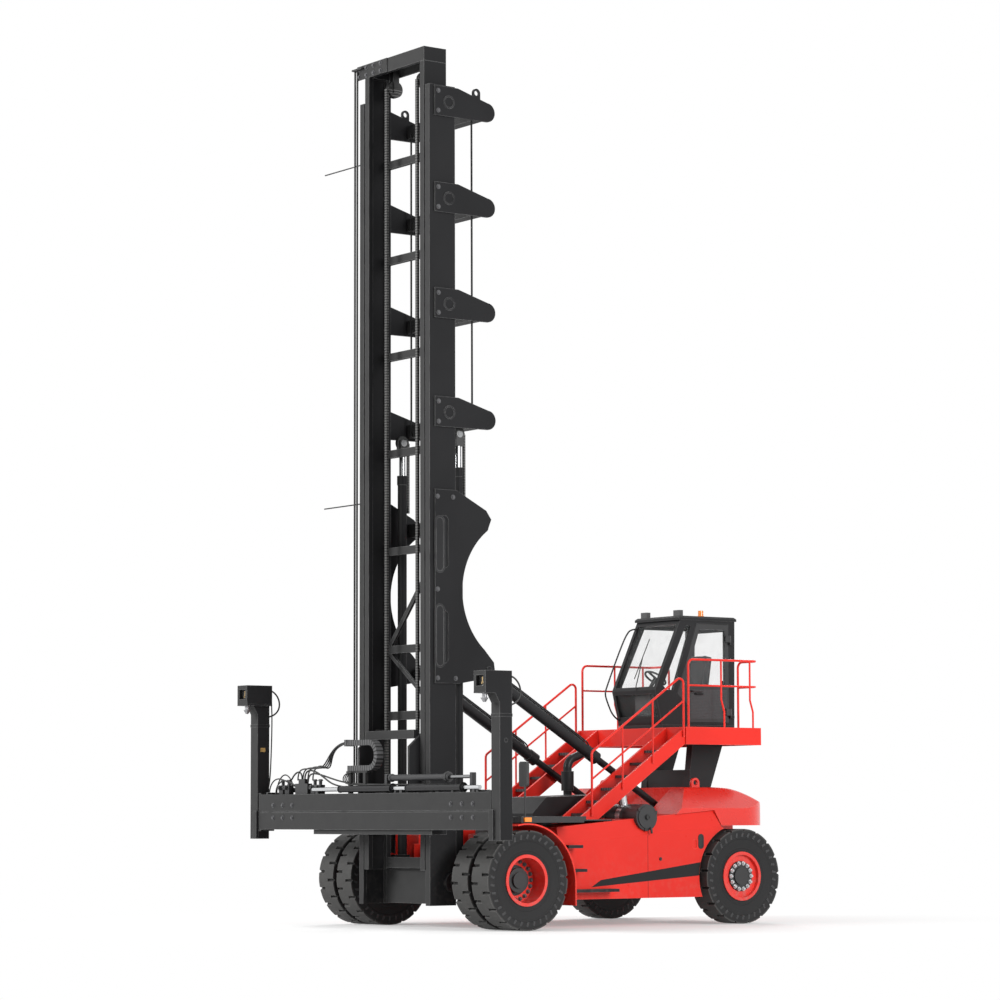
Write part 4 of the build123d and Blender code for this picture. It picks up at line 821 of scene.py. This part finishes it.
class HANDLER_OT_pipes(bpy.types.Operator):
    """Oil pipes over the spreader and the loops behind the lock boxes"""
    bl_idname = "handler.pipes"
    bl_label = "Oil pipes"

    def execute(self, context):
        radius = context.scene.handler_fittings.pipe
        black = moulded("pipe_cover", (0.014, 0.014, 0.014), 0.5)
        for side, sign in SIDES:
            loop = [(sign * 2.95, y, z) for y, z in (
                (-1.0, 3.36), (-0.93, 3.38), (-0.80, 3.30), (-0.76, 3.12), (-0.86, 3.0), (-0.97, 2.98),
                (-1.0, 2.97))]
            tail = [(sign * 2.90, y, z) for y, z in (
                (-1.0, 3.30), (-0.96, 3.28), (-0.93, 3.1), (-0.95, 2.4), (-0.97, 2.0), (-1.0, 1.94))]
            pipes = join([bent_pipe(loop, radius), bent_pipe(tail, radius * 0.8)])
            settle(pipes, "lock_pipes_" + side, black, "arm_" + side)
        runs = (
            ((-1.70, SHIFT_Y, 2.03), (-1.70, SHIFT_Y, 2.14), (-1.50, -1.08, 2.16), (-1.1, -1.075, 2.06),
             (-0.6, -1.075, 1.98), (0.4, -1.075, 1.97), (1.2, -1.075, 1.96), (1.38, -1.05, 1.95),
             (1.40, REAR_PIPE_Y, 1.93)),
            ((-1.78, -1.09, 2.06), (-1.78, -1.09, 2.2), (-1.5, -1.10, 2.2), (-1.2, -1.105, 2.05),
             (-0.9, -1.105, 1.93), (0.3, -1.105, 1.92), (1.6, -1.11, 1.92), (2.3, -1.13, 1.93),
             (2.42, FRONT_PIPE_Y, 1.93)),
            ((-1.86, SHIFT_Y, 2.06), (-1.86, SHIFT_Y, 2.18), (-2.05, -1.08, 2.18), (-2.2, -1.06, 2.02),
             (-2.4, -1.03, 1.94), (-2.48, REAR_PIPE_Y, 1.93)),
            ((-1.62, SHIFT_Y, 1.93), (-1.4, SHIFT_Y, 1.93), (-1.0, -1.09, 1.9), (0.0, -1.09, 1.885),
             (0.8, -1.09, 1.885), (1.0, -1.09, 1.86)),
        )
        pipes = [bent_pipe(run, radius) for run in runs]
        for step in range(4):
            y = -1.098 + 0.026 * step
            x = -1.95 + 0.09 * step
            run = ((-0.66, y, 2.565), (-0.8, y, 2.57), (-1.02 - 0.05 * step, y, 2.5),
                   (-1.2, y, 2.32 - 0.03 * step), (-1.32, y, 2.2), (x + 0.2, y, 2.22 + 0.02 * step),
                   (x, y, 2.2), (x, y, 2.05))
            pipes.append(bent_pipe(run, radius * 0.85))
            y = -1.13 + 0.03 * step
            run = ((-0.52, y, 2.15), (-0.66, y, 2.14), (-0.76, y, 2.08), (-0.72, y, 1.99), (-0.4, y, 1.965),
                   (0.2, y, 1.975), (0.9 + 0.2 * step, y, 1.965), (1.25 + 0.22 * step, y, 1.96),
                   (1.36 + 0.22 * step, y, 1.86))
            pipes.append(bent_pipe(run, radius * 0.7))
        for x0, x1, lift in ((-2.72, -2.06, 0.05), (-2.62, -2.1, 0.11), (-2.5, -1.98, 0.02)):
            y = -1.14 + lift
            run = ((x0, y, 1.86), (x0, y, 1.95), (x0 + 0.1, y, 2.02 + lift), (x0 + 0.3, y, 2.04 + lift),
                   (x1 - 0.08, y, 2.0), (x1, SHIFT_Y, 1.97), (x1 + 0.12, SHIFT_Y, 1.96))
            pipes.append(bent_pipe(run, radius * 0.8))
        settle(join(pipes), "spreader_pipes", black, "spreader")
        return {"FINISHED"}


class HANDLER_OT_cab(bpy.types.Operator):
    """Grab tubes, wiper, door handle and the box behind the cab"""
    bl_idname = "handler.cab"
    bl_label = "Cab fittings"

    def execute(self, context):
        black = paint("cab_tube_paint", chosen("black"), 0.38, 0.0)
        rubber = moulded("wiper_rubber", (0.01, 0.01, 0.01), 0.6)
        front_tube = [(-0.47, y, z) for y, z in (
            (0.36, 1.44), (0.25, 1.45), (0.13, 1.38), (-0.06, 1.0), (-0.24, 0.6), (-0.29, 0.48),
            (-0.25, 0.36), (-0.13, 0.12), (0.03, 0.06))]
        rear_tube = [(0.44, y, z) for y, z in (
            (1.37, 1.33), (1.4, 1.335), (1.406, 1.31), (1.406, 1.1), (1.406, 0.86), (1.406, 0.79),
            (1.4, 0.765), (1.37, 0.76))]
        tubes = [bent_pipe(points, 0.012, 3, in_cab) for points in (front_tube, rear_tube)]
        settle(join(tubes), "cab_grab_tubes", black, "chassis")
        arm = ((0.06, -0.125, 0.5), (0.06, -0.14, 0.53), (0.04, -0.06, 0.72), (-0.02, 0.06, 0.98),
               (-0.03, 0.075, 1.0))
        blade = ((-0.04, -0.075, 0.68), (-0.03, 0.06, 0.97), (-0.02, 0.2, 1.27))
        wiper = [bent_pipe(arm, 0.008, 3, in_cab), bent_pipe(blade, 0.007, 3, in_cab)]
        settle(join(wiper), "screen_wiper", rubber, "chassis")
        box = rounded_block(in_cab(0.2, 1.385, 0.3), in_cab(0.44, 1.418, 0.68), 0.008)
        settle(box, "cab_rear_box", black, "chassis")
        grip = [(x, y, 0.46) for x, y in (
            (0.5, 0.62), (0.545, 0.62), (0.55, 0.66), (0.55, 0.72), (0.545, 0.76), (0.5, 0.76))]
        settle(bent_pipe(grip, 0.011, 3, in_cab), "door_handle", black, "cab_door")
        return {"FINISHED"}


class HANDLER_OT_body(bpy.types.Operator):
    """The air cleaner's lid, body latches, the mast's long-hole covers, lock pointers and post bosses"""
    bl_idname = "handler.body"
    bl_label = "Latches and covers"

    def execute(self, context):
        black = moulded("latch_black", (0.008, 0.008, 0.008), 0.45)
        # Its grey corners are part edge wear, part painted highlight.
        mast = paint("cover_paint", shade(chosen("charcoal"), 1.1), 0.45, 0.06, 0.0, 0.08,
                     (0.2, 0.2, 0.2))
        brass = bare_steel("pointer_brass", (0.55, 0.4, 0.2), 0.4)
        lid_y, lid_z, lid_radius = 2.4, 1.512, 0.172
        spout = ((1.63, lid_y + 0.05, lid_z - 0.15), (1.655, lid_y + 0.05, lid_z - 0.155),
                 (1.66, lid_y + 0.055, lid_z - 0.19), (1.66, lid_y + 0.06, lid_z - 0.225))
        lid = [collared_bar((1.638, lid_y, lid_z), (1.65, lid_y, lid_z), 0.028, 0.005),
               bent_pipe(spout, 0.017, 3)]
        for turn in (0.4, 2.5, 4.6):
            y = lid_y + lid_radius * math.cos(turn)
            z = lid_z + lid_radius * math.sin(turn)
            lid.append(rounded_block(at(1.6, y - 0.022, z - 0.022), at(1.642, y + 0.022, z + 0.022), 0.006))
        settle(join(lid), "cleaner_lid", black, "chassis")
        latches, covers = [], []
        for sign in (1, -1):
            latches.append(side_slot(at(sign * 1.6, 3.4, 1.17), 0.1, 0.21, 0.006, -0.004))
            latches.append(side_slot(at(sign * 1.6, 2.66, 0.93), 0.045, 0.05, 0.008, 0.006))
            for z, height in ((5.26, 0.79), (4.0, 0.88)):
                covers.append(side_slot(at(sign * MAST_SIDE, -0.622, z), 0.17, height, 0.004, -0.003))
        settle(join(latches), "body_latches", black, "chassis")
        settle(join(covers), "mast_covers", mast, "mast")
        stem = Vector((0.011, 0.008, 0.05))
        wing = Vector((0.03, 0.008, 0.018))
        for side, sign in SIDES:
            spot = at(sign * 2.93, -1.378, 3.3)
            low_spot = spot - Vector((0, 0, 0.032))
            pointer = join([rounded_block(spot - stem, spot + stem, 0.004),
                            rounded_block(low_spot - wing, low_spot + wing, 0.006)])
            settle(pointer, "lock_pointer_" + side, brass, "arm_" + side)
            boss = collared_bar((sign * 3.052, -1.1, 2.523), (sign * 3.058, -1.1, 2.523), 0.03, 0.0012)
            settle(boss, "post_boss_" + side, mast, "arm_" + side)
        return {"FINISHED"}


class HANDLER_OT_cylinders(bpy.types.Operator):
    """Tilt cylinder pipes, the beam's sleeves, valves and side-shift cylinder, and a plate on a post"""
    bl_idname = "handler.cylinders"
    bl_label = "Cylinders and valves"

    def execute(self, context):
        black = paint("cylinder_paint", chosen("black"), 0.35, 0.0)
        along = Vector((0, 3.24, -1.953)).normalized()
        up = Vector((0, -along.z, along.y))
        route = ((0.42, 0.07), (0.45, 0.1), (0.6, 0.108), (1.3, 0.108), (2.0, 0.108), (2.1, 0.1),
                 (2.13, 0.07))
        pipes = []
        for sign in (1, -1):
            for shift in (-0.028, 0.028):
                start = Vector((sign * 0.72 + shift, 0.2, 3.558))
                pipes.append(bent_pipe([start + along * s + up * rise for s, rise in route], 0.011, 3))
        settle(join(pipes), "tilt_pipes", black, "tilt_barrels")
        sleeves = []
        for x0, x1, y, radius in ((0.9, 2.2, FRONT_PIPE_Y, 0.046), (-0.75, 0.55, FRONT_PIPE_Y, 0.046),
                                  (-2.3, -1.85, REAR_PIPE_Y, 0.035)):
            sleeves.append(collared_bar((x0, y, BEAM_PIPE_Z), (x1, y, BEAM_PIPE_Z), radius, 0.006))
        settle(join(sleeves), "beam_sleeves", black, "spreader")
        # Its grey corners are part edge wear, part painted highlight.
        iron = paint("gear_paint", shade(chosen("charcoal"), 1.6), 0.4, 0.0, 0.0, 0.3, (0.2, 0.2, 0.2))
        barrel_end = 1.75
        gear = [collared_bar((0.42, SHIFT_Y, SHIFT_Z), (barrel_end, SHIFT_Y, SHIFT_Z), 0.044, 0.012)]
        for x in (0.3, 2.3):
            gear.append(rounded_block(at(x - 0.03, -1.12, BEAM_TOP), at(x + 0.03, -1.05, 2.115), 0.008))
        for x in (-2.36, -2.2, -1.52, -1.38):
            gear.append(rounded_block(at(x - 0.055, -1.13, BEAM_TOP), at(x + 0.055, -1.04, 1.985), 0.01))
            gear.append(collared_bar((x, -1.165, 1.95), (x, -1.13, 1.95), 0.022, 0.005))
            gear.append(collared_bar((x, SHIFT_Y, 1.98), (x, SHIFT_Y, 2.05), 0.024, 0.005))
        for x in (-2.64, 0.62, 1.96, 2.52):
            gear.append(rounded_block(at(x - 0.02, -1.185, BEAM_TOP), at(x + 0.02, -0.975, 1.885), 0.006))
        settle(join(gear), "beam_valves", iron, "spreader")
        rod = collared_bar((barrel_end, SHIFT_Y, SHIFT_Z), (2.28, SHIFT_Y, SHIFT_Z), 0.024, 0.004)
        settle(rod, "shift_rod", chrome("shift_rod"), "spreader")
        plate = rounded_block(at(-2.874, -1.15, 2.47), at(-2.868, -1.07, 2.53), 0.002)
        brass = bare_steel("plate_brass", (0.5, 0.33, 0.12), 0.4)
        settle(plate, "post_plate", brass, "arm_right")
        return {"FINISHED"}


# Tyres

def shoulder_rib(side):
    """One slanted rib on a tyre's wall, above an axle line at the origin, narrower at its top."""
    middle = 0.588
    rib = plain_box((side * 0.167, 0, middle), (0.024, 0.042, 0.074))
    pick_faces(rib, lambda normal: normal.x * side > 0.9)
    bpy.ops.transform.resize(value=(1, 0.7, 0.88), center_override=(side * 0.179, 0, middle))
    bevel(0.003, 1)
    bpy.ops.mesh.select_all(action="SELECT")
    bpy.ops.transform.rotate(value=side * 0.32, orient_axis="X", center_override=(0, 0, middle))
    leave_edit()
    return rib


def shoulder_ribs(centres, count):
    """Ribs round both shoulders of the tyres at these middles, copies of one rib a side."""
    turns = [Matrix.Rotation(2 * math.pi * i / count, 4, "X") for i in range(count)]
    places = [Matrix.Translation(centre) @ turn for centre in centres for turn in turns]
    copies = []
    for side in (1, -1):
        model = shoulder_rib(side)
        copies += copies_at(model, places)
        drop(model)
    return join(copies)


class HANDLER_OT_tyres(bpy.types.Operator):
    """Ribs on the shoulders of all tyres"""
    bl_idname = "handler.tyres"
    bl_label = "Tyre ribs"

    def execute(self, context):
        count = context.scene.handler_fittings.ribs
        # The ribs get rubber three and a half times lighter than the tyre's: painted highlight.
        tone = shade(chosen("rubber"), 3.5)
        drive = tyre_rubber("drive_rib", tone, AXLE_Y)
        steer = tyre_rubber("steer_rib", tone, STEER_Y)
        for side, sign in SIDES:
            ribs = shoulder_ribs([at(sign * x, 0, AXLE_Z) for x in (1.87, 1.412)], count)
            settle(ribs, "drive_ribs_" + side, drive, "drive_wheels_" + side)
            ribs = shoulder_ribs([at(sign * 1.51, WHEELBASE, AXLE_Z)], count)
            settle(ribs, "steer_ribs_" + side, steer, "steer_wheel_" + side)
        return {"FINISHED"}


# Seat

def cushion(low, high, lean, bulge):
    """A stuffed pad: a box divided, drawn in between its corners and crowned on its faces."""
    size = high - low
    pad = plain_box((0, 0, 0), size)
    bpy.ops.object.mode_set(mode="EDIT")
    bpy.ops.mesh.select_all(action="SELECT")
    bpy.ops.mesh.subdivide(number_cuts=9)
    leave_edit()
    on_face = 0.999
    for spot in pad.data.vertices:
        x, y, z = rel = [2 * c / s for c, s in zip(spot.co, size)]
        crown = [(1 - a * a) * (1 - b * b) for a, b in ((y, z), (x, z), (x, y))]
        for axis in range(3):
            if abs(rel[axis]) > on_face:
                spot.co[axis] += math.copysign(bulge * (crown[axis] - 0.55), spot.co[axis])
        channel = math.exp(-((abs(spot.co.x) - size.x * 0.28) / 0.012) ** 2)
        sunk = Vector((0, -0.4 if y < -on_face else 0, 1 if z > on_face else 0))
        spot.co -= sunk * channel * 0.012
    smooth = pad.modifiers.new("round", "SUBSURF")
    smooth.levels = 1
    smooth.render_levels = 1
    bpy.ops.object.modifier_apply(modifier=smooth.name)
    bpy.ops.object.shade_smooth()
    pad.matrix_world = Matrix.Translation((low + high) / 2) @ Matrix.Rotation(lean, 4, "X")
    return pad


class HANDLER_OT_seat(bpy.types.Operator):
    """Operator's seat: two stuffed pads on a suspension box"""
    bl_idname = "handler.seat"
    bl_label = "Seat"

    def execute(self, context):
        fabric = cloth("pad_cloth", (0.035, 0.035, 0.038))
        shell = moulded("seat_shell", (0.02, 0.02, 0.02))
        base = cushion(in_cab(-0.235, 0.6, 0.315), in_cab(0.235, 1.06, 0.43), math.radians(-3), 0.02)
        settle(base, "seat_pad", fabric, "chassis")
        back = cushion(in_cab(-0.22, 1.03, 0.46), in_cab(0.22, 1.14, 1.03), math.radians(-9), 0.018)
        settle(back, "back_pad", fabric, "chassis")
        height = 0.30
        box = plain_box((0, 0, 0), (0.34, 0.32, height))
        pick_faces(box, lambda normal: abs(normal.z) < 0.3)
        bpy.ops.mesh.subdivide(number_cuts=7)
        leave_edit()
        for spot in box.data.vertices:
            fold = 1 - 0.05 * (0.5 + 0.5 * math.cos(spot.co.z / height * 8 * math.pi))
            spot.co.x *= fold
            spot.co.y *= fold
        box.location = in_cab(0, 0.89, height / 2)
        settle(box, "seat_bellows", shell, "chassis")
        for piece in (base, back, box):
            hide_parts("cab_seat")
        return {"FINISHED"}


# Stage

def lamp(name, place, target, size, power):
    unpick()
    bpy.ops.object.light_add(type="AREA", location=place)
    light = bpy.context.object
    light.name = name
    light.data.shape = "RECTANGLE"
    light.data.size = size[0]
    light.data.size_y = size[1]
    light.data.energy = power
    light.rotation_euler = (Vector(target) - Vector(place)).to_track_quat("-Z", "Y").to_euler()


def in_view(finish):
    """1 for rays that show a surface to the eye, straight, by reflection or through glass."""
    ways = finish.add("ShaderNodeLightPath")
    return ways["Is Camera Ray"] + ways["Is Glossy Ray"] + ways["Is Transmission Ray"]


class HANDLER_OT_stage(bpy.types.Operator):
    """Pale floor, soft studio light and the camera"""
    bl_idname = "handler.stage"
    bl_label = "Stage"

    def execute(self, context):
        unpick()
        bpy.ops.mesh.primitive_plane_add(size=400, location=(0, 0, -0.002))
        floor = context.object
        floor.name = "floor"
        f = Finish("floor_pale")
        far = (f.x * f.x + f.y * f.y).root().ramp(3.0, 8.0)
        clear = in_view(f) * (0.3 + far * 0.7)
        white = (1.0, 1.0, 1.0)
        soft = f.add("ShaderNodeBsdfDiffuse", {}, {"Color": (0.9, 0.9, 0.9)})["BSDF"]
        glow = f.add("ShaderNodeEmission", {}, {"Color": white, "Strength": 1.0})["Emission"]
        mixed = f.add("ShaderNodeMixShader", {}, {0: clear, 1: soft, 2: glow})["Shader"]
        f.add("ShaderNodeOutputMaterial", {}, {"Surface": mixed})
        floor.data.materials.append(f.material)
        sky = Finish("studio", bpy.data.worlds.new("studio"))
        context.scene.world = sky.material
        soft = sky.add("ShaderNodeBackground", {}, {"Color": white, "Strength": 0.45})["Background"]
        back = sky.add("ShaderNodeBackground", {}, {"Color": white, "Strength": 1.0})["Background"]
        mixed = sky.add("ShaderNodeMixShader", {}, {0: in_view(sky), 1: soft, 2: back})["Shader"]
        sky.add("ShaderNodeOutputWorld", {}, {"Surface": mixed})
        lamp("front", (-10, -31, 17), (0, 0, 5), (16, 14), 11600)
        lamp("side", (33, 3, 13), (0, 0, 4), (14, 14), 8200)
        lamp("back", (-18, 16, 20), (0, 0, 5), (12, 12), 4200)
        settings = context.scene.handler_stage
        camera = bpy.data.cameras.new("camera")
        camera.lens = settings.lens
        camera.sensor_width = 36
        camera.clip_end = 1000
        eye = bpy.data.objects.new("camera", camera)
        turn = Matrix.Rotation(settings.yaw, 4, "Z") @ Matrix.Rotation(math.pi / 2 + settings.pitch, 4, "X")
        turn = turn @ Matrix.Rotation(settings.roll, 4, "Z")
        eye.matrix_world = Matrix.Translation(settings.eye) @ turn
        context.collection.objects.link(eye)
        context.scene.camera = eye
        context.scene.view_settings.view_transform = "Standard"
        return {"FINISHED"}


PIECES = (HANDLER_OT_finishes, HANDLER_OT_bolts, HANDLER_OT_pipes, HANDLER_OT_cab, HANDLER_OT_body,
          HANDLER_OT_cylinders, HANDLER_OT_tyres, HANDLER_OT_seat, HANDLER_OT_stage)


class HANDLER_PT_panel(bpy.types.Panel):
    bl_idname = "HANDLER_PT_panel"
    bl_label = "Container handler"
    bl_space_type = "VIEW_3D"
    bl_region_type = "UI"
    bl_category = "Handler"

    def draw(self, context):
        for piece in PIECES:
            self.layout.operator(piece.bl_idname)
        for group in (context.scene.handler_finishes, context.scene.handler_fittings,
                      context.scene.handler_stage):
            for name in group.__annotations__:
                self.layout.prop(group, name)


GROUPS = (HandlerFinishes, HandlerFittings, HandlerStage)


def register():
    for item in GROUPS + PIECES + (HANDLER_PT_panel,):
        bpy.utils.register_class(item)
    bpy.types.Scene.handler_finishes = bpy.props.PointerProperty(type=HandlerFinishes)
    bpy.types.Scene.handler_fittings = bpy.props.PointerProperty(type=HandlerFittings)
    bpy.types.Scene.handler_stage = bpy.props.PointerProperty(type=HandlerStage)


def unregister():
    del bpy.types.Scene.handler_finishes
    del bpy.types.Scene.handler_fittings
    del bpy.types.Scene.handler_stage
    for item in reversed(GROUPS + PIECES + (HANDLER_PT_panel,)):
        bpy.utils.unregister_class(item)


def main():
    register()
    bpy.ops.handler.finishes()
    bpy.ops.handler.bolts()
    bpy.ops.handler.pipes()
    bpy.ops.handler.cab()
    bpy.ops.handler.body()
    bpy.ops.handler.cylinders()
    bpy.ops.handler.tyres()
    bpy.ops.handler.seat()
    bpy.ops.handler.stage()


if __name__ == "__main__":
    main()
